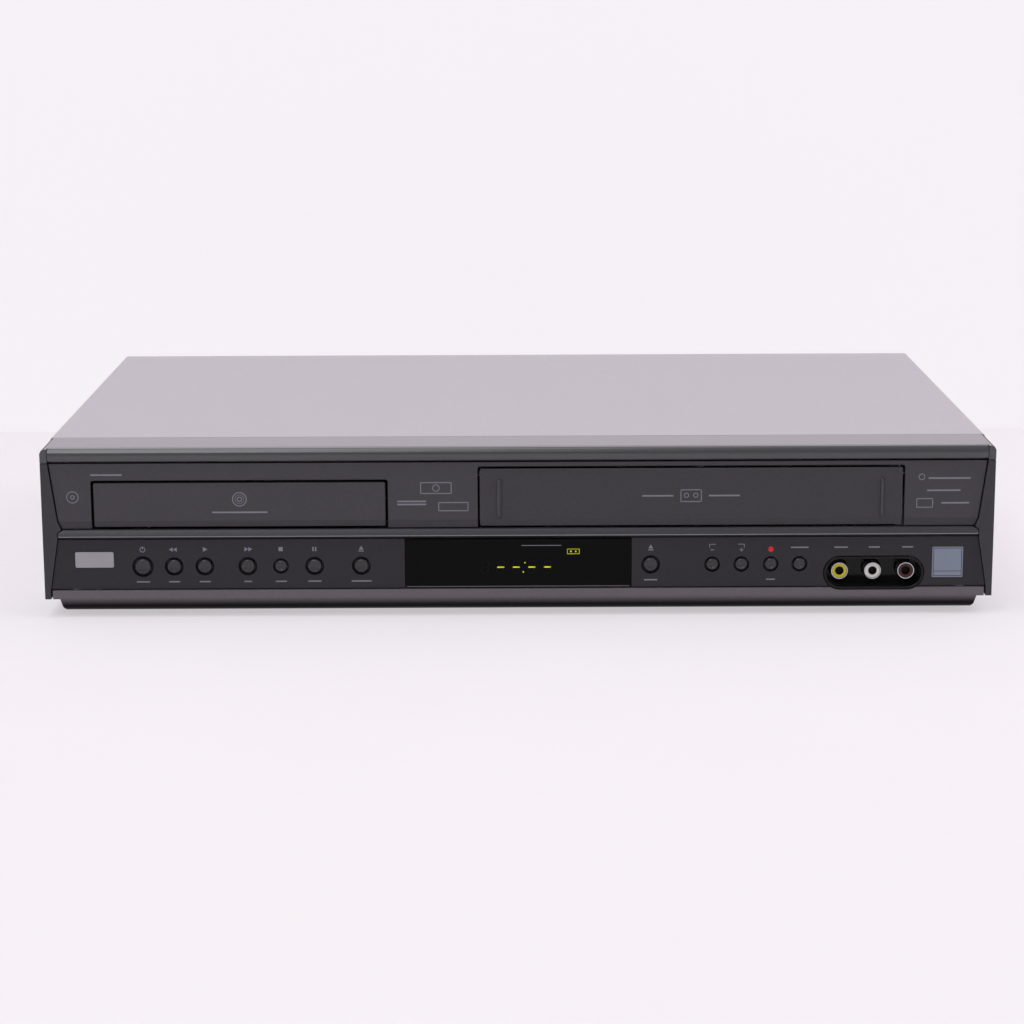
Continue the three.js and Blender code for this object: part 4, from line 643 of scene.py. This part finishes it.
# A slim glossy pill stands over each of the cassette door's two upright ribs, 0.55 mm in front of it. The
# pills aren't centred on the ribs: the left one is 0.55 mm to the left, and the right one 0.15 mm.
door_low, door_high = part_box("cassette_door")
left_rib_inset, right_rib_inset, rib_axis_depth = 0.0106, 0.0113, 0.0003
rib_gloss = grained("rib_abs", "#3b393d", "#343236", 0.25, 0.5, 0.05)
rib_half, rib_bottom, rib_length = 0.85, 0.0458, 17.6
for side, x in (("left", door_low.x + left_rib_inset), ("right", door_high.x - right_rib_inset)):
    rib_foot = Vector((x, door_low.y + rib_axis_depth, rib_bottom))
    rib = turned("cassette_door_rib_" + side, rib_gloss, rib_foot, (0, 0, 1), [
        (rib_half * math.cos(angle), rib_half * (1 + math.sin(angle)))
        for angle in (math.radians(degrees) for degrees in (-85, -65, -45, -25, 0))] + [
        (rib_half * math.cos(angle), rib_length - rib_half * (1 - math.sin(angle)))
        for angle in (math.radians(degrees) for degrees in (0, 25, 45, 65, 85))], 32)
    goes_with(rib, "cassette_door")


# Middle rail: a raised strip of dark satin ABS between the two panels. Its lower lip is painted darker as
# shade, and a ridge along it, below its middle, has a lighter grey as a painted highlight.

rail_grey = paint("rail_grey_paint", "#3f3f43", "#37373b", 0.34, dull)
middle_rail = node_copy("middle_rail", rail_grey)
rail_lip_shade = paint("rail_lip_shade_paint", "#29272b", "#232125", 0.4, dull)
# Painted shade: the lip's faces that look down are darker.
colour_faces(middle_rail, rail_lip_shade, lambda c, n: n.y < -0.1 and n.z < -0.1)
soften(middle_rail, 0.4, 3)
ridge_z, ridge_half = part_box("middle_rail")[0].z + 0.00127, 0.0003
ridge_highlight = paint("ridge_highlight_paint", "#7d7d81", "#6d6d71", 0.3)
# Painted highlight: the ridge's faces get a lighter grey.
colour_faces(middle_rail, ridge_highlight, lambda c, n: n.y < -0.9 and abs(c.z - ridge_z) < ridge_half)
stand_for(middle_rail, "middle_rail")


# Key panel: dark satin ABS, 2.5 mm thick. Each key sits in a round well with a soft edge, and a round-ended
# opening holds the sockets.

slate_grey = paint("slate_grey_paint", "#2d2b30", "#262429", 0.34, dull)
# Radius of each key's cap and of its well, in mm.
key_sizes = dict.fromkeys(("rewind", "play", "forward", "pause", "tray", "eject"), (3.2, 4.1))
key_sizes.update(dict.fromkeys(("stop", "tracking_down", "tracking_up", "record", "source"), (2.75, 3.4)))
key_sizes["power"] = (3.65, 4.7)
panel_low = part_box("key_panel")[0]
key_places = {}
for key in key_sizes:
    low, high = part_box(key + "_key")
    key_places[key] = Vector(((low.x + high.x) / 2, panel_low.y, (low.z + high.z) / 2))
key_panel = node_copy("key_panel", slate_grey)
for key, (cap, well) in key_sizes.items():
    well_cutter = turned(key + "_well", slate_grey, key_places[key], (0, 1, 0), [
        (well + 0.5, -1), (well + 0.5, -0.02), (well + 0.18, 0.12), (well + 0.03, 0.45),
        (well + 0.03, 1.62)])
    hole_cutter = turned(key + "_hole", slate_grey, key_places[key], (0, 1, 0), [
        (cap + 0.32, -1), (cap + 0.32, 3)])
    cut_away(key_panel, well_cutter, hole_cutter)
# Painted shade: the walls and floors of the wells are near black, as are the sockets' bores.
recess_shade_black = grained("black_recess_shade", "#0c0c0d", "#080809", 0.6, 0.5, 0.1, dull)


def is_in_well(c, n):
    """Whether a face lies behind the panel's front, inside one of the wells."""
    return c.y > panel_low.y + 0.0003 and any(
        math.hypot(c.x - key_places[key].x, c.z - key_places[key].z) * 1000 < well + 0.06
        for key, (cap, well) in key_sizes.items())


colour_faces(key_panel, recess_shade_black, is_in_well)
smooth(key_panel)
stand_for(key_panel, "key_panel")


# Keys: twelve turned caps of dark ABS with a rounded rim and a shallow dished face, each on a stem with a
# flange behind the panel.

key_abs = grained("dark_key_abs", "#2e2d31", "#28272b", 0.28, 0.5, 0.05)
stem_foot_y = cad_box[0].y + 0.01
for key, (cap, well) in key_sizes.items():
    stem_foot = Vector((key_places[key].x, stem_foot_y, key_places[key].z))
    piece = turned(key + "_key_piece", key_abs, stem_foot, (0, -1, 0), [
        (1.5, 0), (1.5, 4.5), (cap + 1.1, 4.5), (cap + 1.1, 5.3), (cap, 5.3), (cap, 7.6),
        (cap - 0.12, 8.05), (cap - 0.4, 8.42), (cap - 0.8, 8.6), (cap - 1.1, 8.56),
        (cap * 0.5, 8.28), (cap * 0.3, 8.14), (0.3, 8.08)])
    stand_for(piece, key + "_key")


# Display: a smoked acrylic window, gloss black from outside, with the vacuum tube behind it. Its unlit
# segments show faintly, and four dashes, a colon and a small cassette sign are lit.

smoked = grained("smoked_acrylic", "#0b0b0a", "#080807", 0.1, 1.0, 0.0, {"Specular IOR Level": 0.06})
softened("display_window", smoked, edge=0.3, segments=3)
tube_glass = grained("tube_glass", "#2a2f2b", "#1f2420", 0.08, 1.0, 0.0, {"Coat Weight": 1.0})
softened("display_tube", tube_glass, edge=0.6, segments=3)
print_thickness = 0.00004


def printed_bar(x, z, width, height, face, lean=0):
    """A thin bar on the front face at that y, its middle at x and z, all in mm, leaning by that angle."""
    select_only()
    bpy.ops.mesh.primitive_cube_add(size=1, location=(x / 1000, face, z / 1000), rotation=(0, lean, 0))
    bar = bpy.context.object
    bar.scale = (width / 1000, print_thickness, height / 1000)
    bpy.ops.object.transform_apply()
    return bar


def joined(name, material, pieces, node):
    """Makes one piece of these, in that material, on the body of that node."""
    select_only(*pieces)
    bpy.ops.object.join()
    piece = bpy.context.object
    piece.name = piece.data.name = name
    piece.data.materials.clear()
    piece.data.materials.append(material)
    goes_with(piece, node)
    return piece


def phosphor(name, light, dark, glow):
    """Phosphor under glass, its brightness a little uneven, with that glow of its own."""
    material, shader = new_material(name, {"Roughness": 0.3, "Specular IOR Level": 0.06,
                                           "Emission Strength": glow})
    place = add(material, "ShaderNodeTexCoord").outputs["Object"]
    # The grid over the phosphor, wires 0.6 mm apart.
    grid = add(material, "ShaderNodeTexWave", {"Vector": place, "Scale": 1000 / 0.6 / 20},
               bands_direction="X")
    tint = add(material, "ShaderNodeMix", {"Factor": grid.outputs["Fac"], 6: linear(dark),
                                           7: linear(light)}, data_type="RGBA")
    feed(material, shader, {"Base Color": tint.outputs[2], "Emission Color": tint.outputs[2]})
    return material


window_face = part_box("display_window")[0].y - 0.00001
digit_places = (-15.0, -7.95, -0.9, 6.15, 13.25)
digit_z, digit_half, segment, stroke = 22.55, 2.7, 2.3, 0.5
slant = math.radians(8)
unlit = []
for x in digit_places:
    for row in (-1, 1):
        row_x, row_z = x + row * digit_half * slant, digit_z + row * digit_half
        unlit.append(printed_bar(row_x, row_z, segment, stroke, window_face))
        for side in (-1, 1):
            side_x = x + side * 1.5 + row * digit_half / 2 * slant
            side_z = digit_z + row * digit_half / 2
            unlit.append(printed_bar(side_x, side_z, stroke, segment, window_face, slant))
unlit.append(printed_bar(digit_places[0], digit_z, segment, stroke, window_face))
joined("unlit_segments", phosphor("unlit_phosphor", "#111210", "#0e0f0c", 0.0), unlit, "display_window")
lit = [printed_bar(x, digit_z, 3.2, 0.6, window_face) for x in digit_places[1:]]
lit += [printed_bar(3.0, 24.6, stroke, 0.6, window_face, slant),
        printed_bar(2.3, 20.3, stroke, 0.6, window_face, slant)]
lit_sign_x, lit_sign_z = 25, 29.75
lit += [printed_bar(lit_sign_x, lit_sign_z + row * 1.1, 5.6, 0.2, window_face) for row in (-1, 1)]
lit += [printed_bar(lit_sign_x + side * 2.7, lit_sign_z, 0.2, 2.4, window_face) for side in (-1, 1)]
lit += [printed_bar(lit_sign_x + side * 1.1, lit_sign_z, 0.7, 0.7, window_face) for side in (-1, 1)]
joined("lit_segments", phosphor("yellow_green_phosphor", "#c3c71c", "#aeb218", 0.55), lit, "display_window")
window_low, window_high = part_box("display_window")
# Painted highlight: a light grey bar along the window's lower edge.
edge_highlight_bar = [printed_bar((window_low.x + window_high.x) * 500, window_low.z * 1000 + 0.45,
                          (window_high.x - window_low.x) * 1000 - 1.2, 0.3, window_face)]
edge_highlight_grey = grained("painted_edge_highlight", "#6c6a6c", "#605e60", 0.2, 1.0, 0.0)
joined("window_edge_highlight", edge_highlight_grey, edge_highlight_bar, "display_window")


# Front sockets: a gloss black cup with three sockets in it, each a polished shell round a coloured
# insulator, yellow, white and red, with its bore painted near black as shade.

gloss_black = grained("gloss_black_abs", "#101011", "#0d0d0e", 0.14, 0.8, 0.03, {"Specular IOR Level": 0.2})
insulators = {"yellow": grained("yellow_moulding", "#dccb1d", "#cfbe19", 0.34, 0.4, 0.08),
              "white": grained("white_moulding", "#e9e7df", "#dfddd4", 0.34, 0.4, 0.08),
              "red": grained("red_moulding", "#4a0c0b", "#400a09", 0.4, 0.4, 0.08)}
softened("socket_plate", gloss_black, edge=0.35, segments=3)


def phono_socket(name, colour, foot, toward, reach, node):
    """A socket that reaches that many mm from its foot: a shell, and the insulator in its mouth."""
    shell = turned(name + "_shell", turned_steel, foot, toward, [
        (3.95, 0), (3.95, reach - 0.3), (3.75, reach), (3.45, reach), (3.3, reach - 0.2), (3.3, reach - 4),
        (0.3, reach - 4)])
    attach(shell, "cabinet")
    insulator = turned(name + "_insulator", insulators[colour], foot, toward, [
        (3.28, reach - 3.9), (3.28, reach - 0.45), (3.1, reach - 0.3), (2.1, reach - 0.3),
        (1.95, reach - 0.45), (1.95, reach - 3.4), (0.3, reach - 3.4)])
    axis = Vector(toward)
    # Painted shade: the faces of the bore are near black.
    colour_faces(insulator, recess_shade_black, lambda c, n: (c - foot).cross(axis).length < 0.00197)
    if node:
        stand_for(insulator, node)
    else:
        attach(insulator, "cabinet")


for colour in insulators:
    node = "front_socket_" + colour
    low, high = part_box(node)
    foot = Vector(((low.x + high.x) / 2, high.y, (low.z + high.z) / 2))
    phono_socket(node, colour, foot, (0, -1, 0), (high.y - low.y) * 1000, node)


# Prints: transport signs over the keys, a bar under each, bracket lines, a red dot, and plain signs on the
# doors, in grey ink a few hundredths of a millimetre thick. A bare silver plate and a pale square are
# stuck on at the ends of the key panel.

def printed_triangle(x, z, radius, face, turn):
    """A printed triangle that points up, or is turned from there by that many degrees."""
    select_only()
    bpy.ops.mesh.primitive_cylinder_add(vertices=3, radius=radius / 1000, depth=print_thickness,
                                        location=(x / 1000, face, z / 1000),
                                        rotation=(math.pi / 2, math.radians(turn), 0))
    triangle = bpy.context.object
    bpy.ops.object.transform_apply()
    return triangle


def printed_ring(x, z, radius, line, face):
    """A printed ring with that width of line."""
    select_only()
    bpy.ops.mesh.primitive_torus_add(major_radius=radius / 1000, minor_radius=line / 2000, major_segments=48,
                                     minor_segments=8, location=(x / 1000, face, z / 1000),
                                     rotation=(math.pi / 2, 0, 0))
    ring = bpy.context.object
    ring.scale = (1, 1, print_thickness * 1000 / line)
    bpy.ops.object.transform_apply()
    return ring


def printed_frame(x, z, width, height, line, face):
    """A printed rectangle of four lines."""
    return ([printed_bar(x, z + row * (height - line) / 2, width, line, face) for row in (-1, 1)]
            + [printed_bar(x + side * (width - line) / 2, z, line, height, face) for side in (-1, 1)])


ink = grained("grey_ink", "#7c7e89", "#72747e", 0.5, 0.6, 0.1)
panel_face = panel_low.y - 0.00001
upper_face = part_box("door_panel")[0].y - 0.00001
sign_z, word_z = 31.4, 16.4
key_x = {key: place.x * 1000 for key, place in key_places.items()}
signs = [printed_ring(key_x["power"], sign_z, 1.1, 0.35, panel_face),
         printed_bar(key_x["power"], sign_z + 0.7, 0.35, 1.5, panel_face),
         printed_bar(key_x["stop"], sign_z, 1.9, 1.9, panel_face),
         printed_bar(key_x["pause"] - 0.6, sign_z, 0.6, 2.0, panel_face),
         printed_bar(key_x["pause"] + 0.6, sign_z, 0.6, 2.0, panel_face)]
for key, shift, radius, turn in (("rewind", -1.0, 1.15, -90), ("rewind", 0.8, 1.15, -90),
                                 ("play", 0, 1.35, 90), ("forward", -0.8, 1.15, 90),
                                 ("forward", 1.0, 1.15, 90)):
    signs.append(printed_triangle(key_x[key] + shift, sign_z, radius, panel_face, turn))
for key in ("tray", "eject"):
    signs += [printed_triangle(key_x[key], sign_z + 0.2, 1.25, panel_face, 0),
              printed_bar(key_x[key], sign_z - 1.1, 2.3, 0.45, panel_face)]
for key, width in {"power": 6, "rewind": 5, "play": 5, "forward": 3.5, "stop": 5, "pause": 6, "tray": 9,
                   "eject": 6, "record": 4}.items():
    signs.append(printed_bar(key_x[key], word_z, width, 0.6, panel_face))
for key, side in (("tracking_down", -1), ("tracking_up", 1)):
    signs += [printed_bar(key_x[key], 30.2, 1.7, 0.35, panel_face),
              printed_bar(key_x[key] + 1.2 * side, 32.0, 0.3, 1.6, panel_face),
              printed_bar(key_x[key] - 0.1 * side, 32.8, 2.8, 0.3, panel_face)]
signs.append(printed_bar(key_x["tracking_up"], 30.2, 0.35, 1.7, panel_face))
signs += [printed_bar(key_x["source"], 31.2, 8, 0.6, panel_face),
          printed_bar(10.5, 32.6, 18, 0.3, window_face)]
for colour, width in {"yellow": 6, "white": 5, "red": 5}.items():
    low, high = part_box("front_socket_" + colour)
    signs.append(printed_bar((low.x + high.x) * 500, 31.2, width, 0.6, panel_face))
joined("key_panel_print", ink, signs, "key_panel")

# The door panel carries a disc sign, two outlined signs between the doors, and lines at the right.
ring_line, frame_line, bar_height = 0.35, 0.4, 0.7
upper_signs = [printed_ring(x, z, radius, ring_line, upper_face) for x, z, radius in (
    (-201, 55.8, 2.6), (-201, 55.8, 0.8), (-37, 59.4, 1.5), (182, 63.6, 1.3))]
upper_signs += [printed_bar(x, z, width, bar_height, upper_face) for x, z, width in (
    (-185.5, 66, 14), (-48, 53.3, 13), (-48, 51.9, 13), (194.5, 63, 19), (192, 57.4, 15), (197.4, 51.6, 12.5))]
for x, z, width, height in ((-37, 59.4, 14.2, 5.4), (-29.2, 50.8, 13.6, 4.2), (183.6, 51.6, 7.6, 4.4)):
    upper_signs += printed_frame(x, z, width, height, frame_line, upper_face)
joined("door_panel_print", ink, upper_signs, "door_panel")

# The tray door carries a disc over a bar, and the cassette door a cassette between two lines.
disc_door_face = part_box("disc_door")[0].y - 0.00001
disc_x, disc_z = loader_x * 1000, 54.6
joined("disc_sign", ink, [
    printed_ring(disc_x, disc_z, 3.1, 0.4, disc_door_face),
    printed_ring(disc_x, disc_z, 1.0, ring_line, disc_door_face),
    printed_ring(disc_x, disc_z, 2.0, 0.2, disc_door_face),
    printed_bar(disc_x, 48.6, 25, bar_height, disc_door_face),
], "disc_door")
cassette_x = (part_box("cassette_door")[0].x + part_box("cassette_door")[1].x) * 500
cassette_z = 55.4
joined("cassette_sign", ink, printed_frame(cassette_x, cassette_z, 9.6, 5.8, frame_line, upper_face) + [
    printed_ring(cassette_x - 2.1, 55.6, 1.0, ring_line, upper_face),
    printed_ring(cassette_x + 2.1, 55.6, 1.0, ring_line, upper_face),
    printed_bar(cassette_x - 15, cassette_z, 14, bar_height, upper_face),
    printed_bar(cassette_x + 15, cassette_z, 14, bar_height, upper_face),
], "cassette_door")

red_ink = grained("red_ink", "#d52b2d", "#c72527", 0.4, 0.6, 0.1, dull)
record_place = (key_places["record"].x, panel_low.y, 0.0304)
record_dot = turned("record_dot", red_ink, record_place, (0, -1, 0), [
    (1.2, -0.02), (1.2, 0.02), (1.0, 0.03)], 32)
joined("record_mark", red_ink, [record_dot], "key_panel")
silver_plate = plated_sheet("brushed_silver_plate", "#a9a8ad", "#9c9ba0", 0.4)
plate_face = panel_low.y - 0.0005
name_plate = block("silver_plate", (-0.2008, plate_face, 0.0232), (-0.1833, panel_low.y, 0.0305))
rounded(name_plate, lambda a, b: abs(a.y - b.y) > 0.0004, 0.8, 5)
rounded(name_plate, lambda a, b: a.y < plate_face + 0.0001 and b.y < plate_face + 0.0001, 0.15, 2)
pale_film = grained("pale_blue_film", "#828a9b", "#7a8292", 0.36, 0.8, 0.05, dull)
square = block("pale_square", (0.1878, panel_low.y - 0.00008, 0.0171), (0.2017, panel_low.y, 0.0312))
rounded(square, lambda a, b: abs(a.y - b.y) > 0.00006, 0.4, 3)
for sticker, material in ((name_plate, silver_plate), (square, pale_film)):
    sticker.data.materials.append(material)
    smooth(sticker)
    goes_with(sticker, "key_panel")
square_face = panel_low.y - 0.00009
square_x, square_line = 194.75, 0.25
joined("pale_square_lines", slate_grey, printed_frame(square_x, 24.15, 12.9, 13.1, square_line, square_face)
       + [printed_bar(square_x, 19.9, 12.6, square_line, square_face)], "key_panel")


# Back: a plated panel, the black socket block behind it with six polished sockets through it in two rows,
# and the mains inlet, a black cup with two steel pins.

softened("rear_panel", chassis_zinc, edge=0.2)
block_low, block_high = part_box("rear_sockets")
panel_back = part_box("rear_panel")[1].y
rear_block = node_copy("rear_sockets", black_abs)
cut_away(rear_block, block("barrels", (block_low.x, panel_back + 0.0002, block_low.z),
                           (block_high.x, block_high.y + 0.001, block_high.z)))
soften(rear_block, 0.3)
stand_for(rear_block, "rear_sockets")
socket_pitch = 0.0151
for column, colour in enumerate(("yellow", "white", "red")):
    for row in (0, 1):
        foot = Vector(((block_low.x + block_high.x) / 2 + (1 - column) * socket_pitch, panel_back - 0.0005,
                       (block_low.z + block_high.z) / 2 + (row - 0.5) * socket_pitch))
        reach = (block_high.y - foot.y) * 1000
        phono_socket(f"rear_socket_{column}_{row}", colour, foot, (0, 1, 0), reach, None)

inlet = node_copy("mains_inlet", black_abs)
soften(inlet, 0.3)
inlet_low, inlet_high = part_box("mains_inlet")
inlet_x, inlet_z = (inlet_low.x + inlet_high.x) / 2, (inlet_low.z + inlet_high.z) / 2
pin_offset, pin_reach = 0.004, 0.0013
colour_faces(inlet, turned_steel,
             lambda c, n: math.hypot(abs(c.x - inlet_x) - pin_offset, c.z - inlet_z) < pin_reach)
stand_for(inlet, "mains_inlet")


# Top cover: 1 mm steel sheet, folded over the top and both sides, with slots in the sides and a lip at the
# back that three cross-head screws hold. Its satin mauve paint has hair scratches and a few dark nicks.

cover_paint = paint("scuffed_mauve_paint", "#b1aab3", "#a7a0a9", 0.36)
cover_shader = cover_paint.node_tree.nodes["Principled BSDF"]
cover_tint = cover_shader.inputs["Base Color"].links[0].from_socket
cover_place = add(cover_paint, "ShaderNodeTexCoord").outputs["Object"]
wander = add(cover_paint, "ShaderNodeTexNoise", {"Vector": cover_place, "Scale": 1000 / 70, "Detail": 1})
bent_place = add(cover_paint, "ShaderNodeMix", {"Factor": 0.06, 4: cover_place, 5: wander.outputs["Color"]},
                 data_type="VECTOR")
# Hair scratches on bent paths about 80 mm apart, drawn 0.4 mm wide so that they show, in a few patches.
paths = add(cover_paint, "ShaderNodeTexVoronoi", {"Vector": bent_place.outputs[1], "Scale": 1000 / 80},
            feature="DISTANCE_TO_EDGE")
hair = add(cover_paint, "ShaderNodeMapRange", {"Value": paths.outputs["Distance"], "From Min": 0.0015,
                                               "From Max": 0.004, "To Min": 0.14, "To Max": 0})
patch = add(cover_paint, "ShaderNodeTexNoise", {"Vector": cover_place, "Scale": 1000 / 110, "Detail": 2})
worn = add(cover_paint, "ShaderNodeMapRange", {"Value": patch.outputs["Fac"], "From Min": 0.52,
                                               "From Max": 0.6})
scratched = add(cover_paint, "ShaderNodeMath", {0: hair.outputs["Result"], 1: worn.outputs["Result"]},
                operation="MULTIPLY")
lighter = add(cover_paint, "ShaderNodeMix", {"Factor": scratched.outputs[0], 6: cover_tint,
                                             7: linear("#dcd7de")}, data_type="RGBA")
# Nicks: dark dots 0.8 mm across, one in 9 mm at most, where the paint is worn.
dots = add(cover_paint, "ShaderNodeTexVoronoi", {"Vector": cover_place, "Scale": 1000 / 9})
nick = add(cover_paint, "ShaderNodeMapRange", {"Value": dots.outputs["Distance"], "From Min": 0.03,
                                               "From Max": 0.06, "To Min": 0.6, "To Max": 0})
nicked = add(cover_paint, "ShaderNodeMath", {0: nick.outputs["Result"], 1: worn.outputs["Result"]},
             operation="MULTIPLY")
darker = add(cover_paint, "ShaderNodeMix", {"Factor": nicked.outputs[0], 6: lighter.outputs[2],
                                            7: linear("#6f6a71")}, data_type="RGBA")
feed(cover_paint, cover_shader, {"Base Color": darker.outputs[2]})
# Painted shade: the cover's paint darkens beside the seam with the front frame.
shaded_off(cover_paint, "Y", cover_seam + 0.0011, cover_seam + 0.0004, seam_shade, seam_shade_share)
softened("top_cover", cover_paint, edge=0.3, segments=3)

slot_width, slot_length, slot_depth = 0.0009, 0.0042, 0.0013
for number in (1, 2, 3):
    node = f"cover_screw_{number}"
    low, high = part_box(node)
    tip = Vector(((low.x + high.x) / 2, low.y, (low.z + high.z) / 2))
    screw = turned(node + "_piece", turned_steel, tip, (0, 1, 0), [
        (1.1, 0), (1.5, 0.6), (1.5, 8), (3.2, 8), (3.4, 8.2), (3.4, 8.7), (3.1, 9.3),
        (2.4, 9.75), (1.2, 9.9), (0.3, 9.9)])
    for width, height in ((slot_width, slot_length), (slot_length, slot_width)):
        cut_away(screw, block("cross", (tip.x - width / 2, high.y - slot_depth, tip.z - height / 2),
                              (tip.x + width / 2, high.y + 0.001, tip.z + height / 2)))
    smooth(screw)
    stand_for(screw, node)
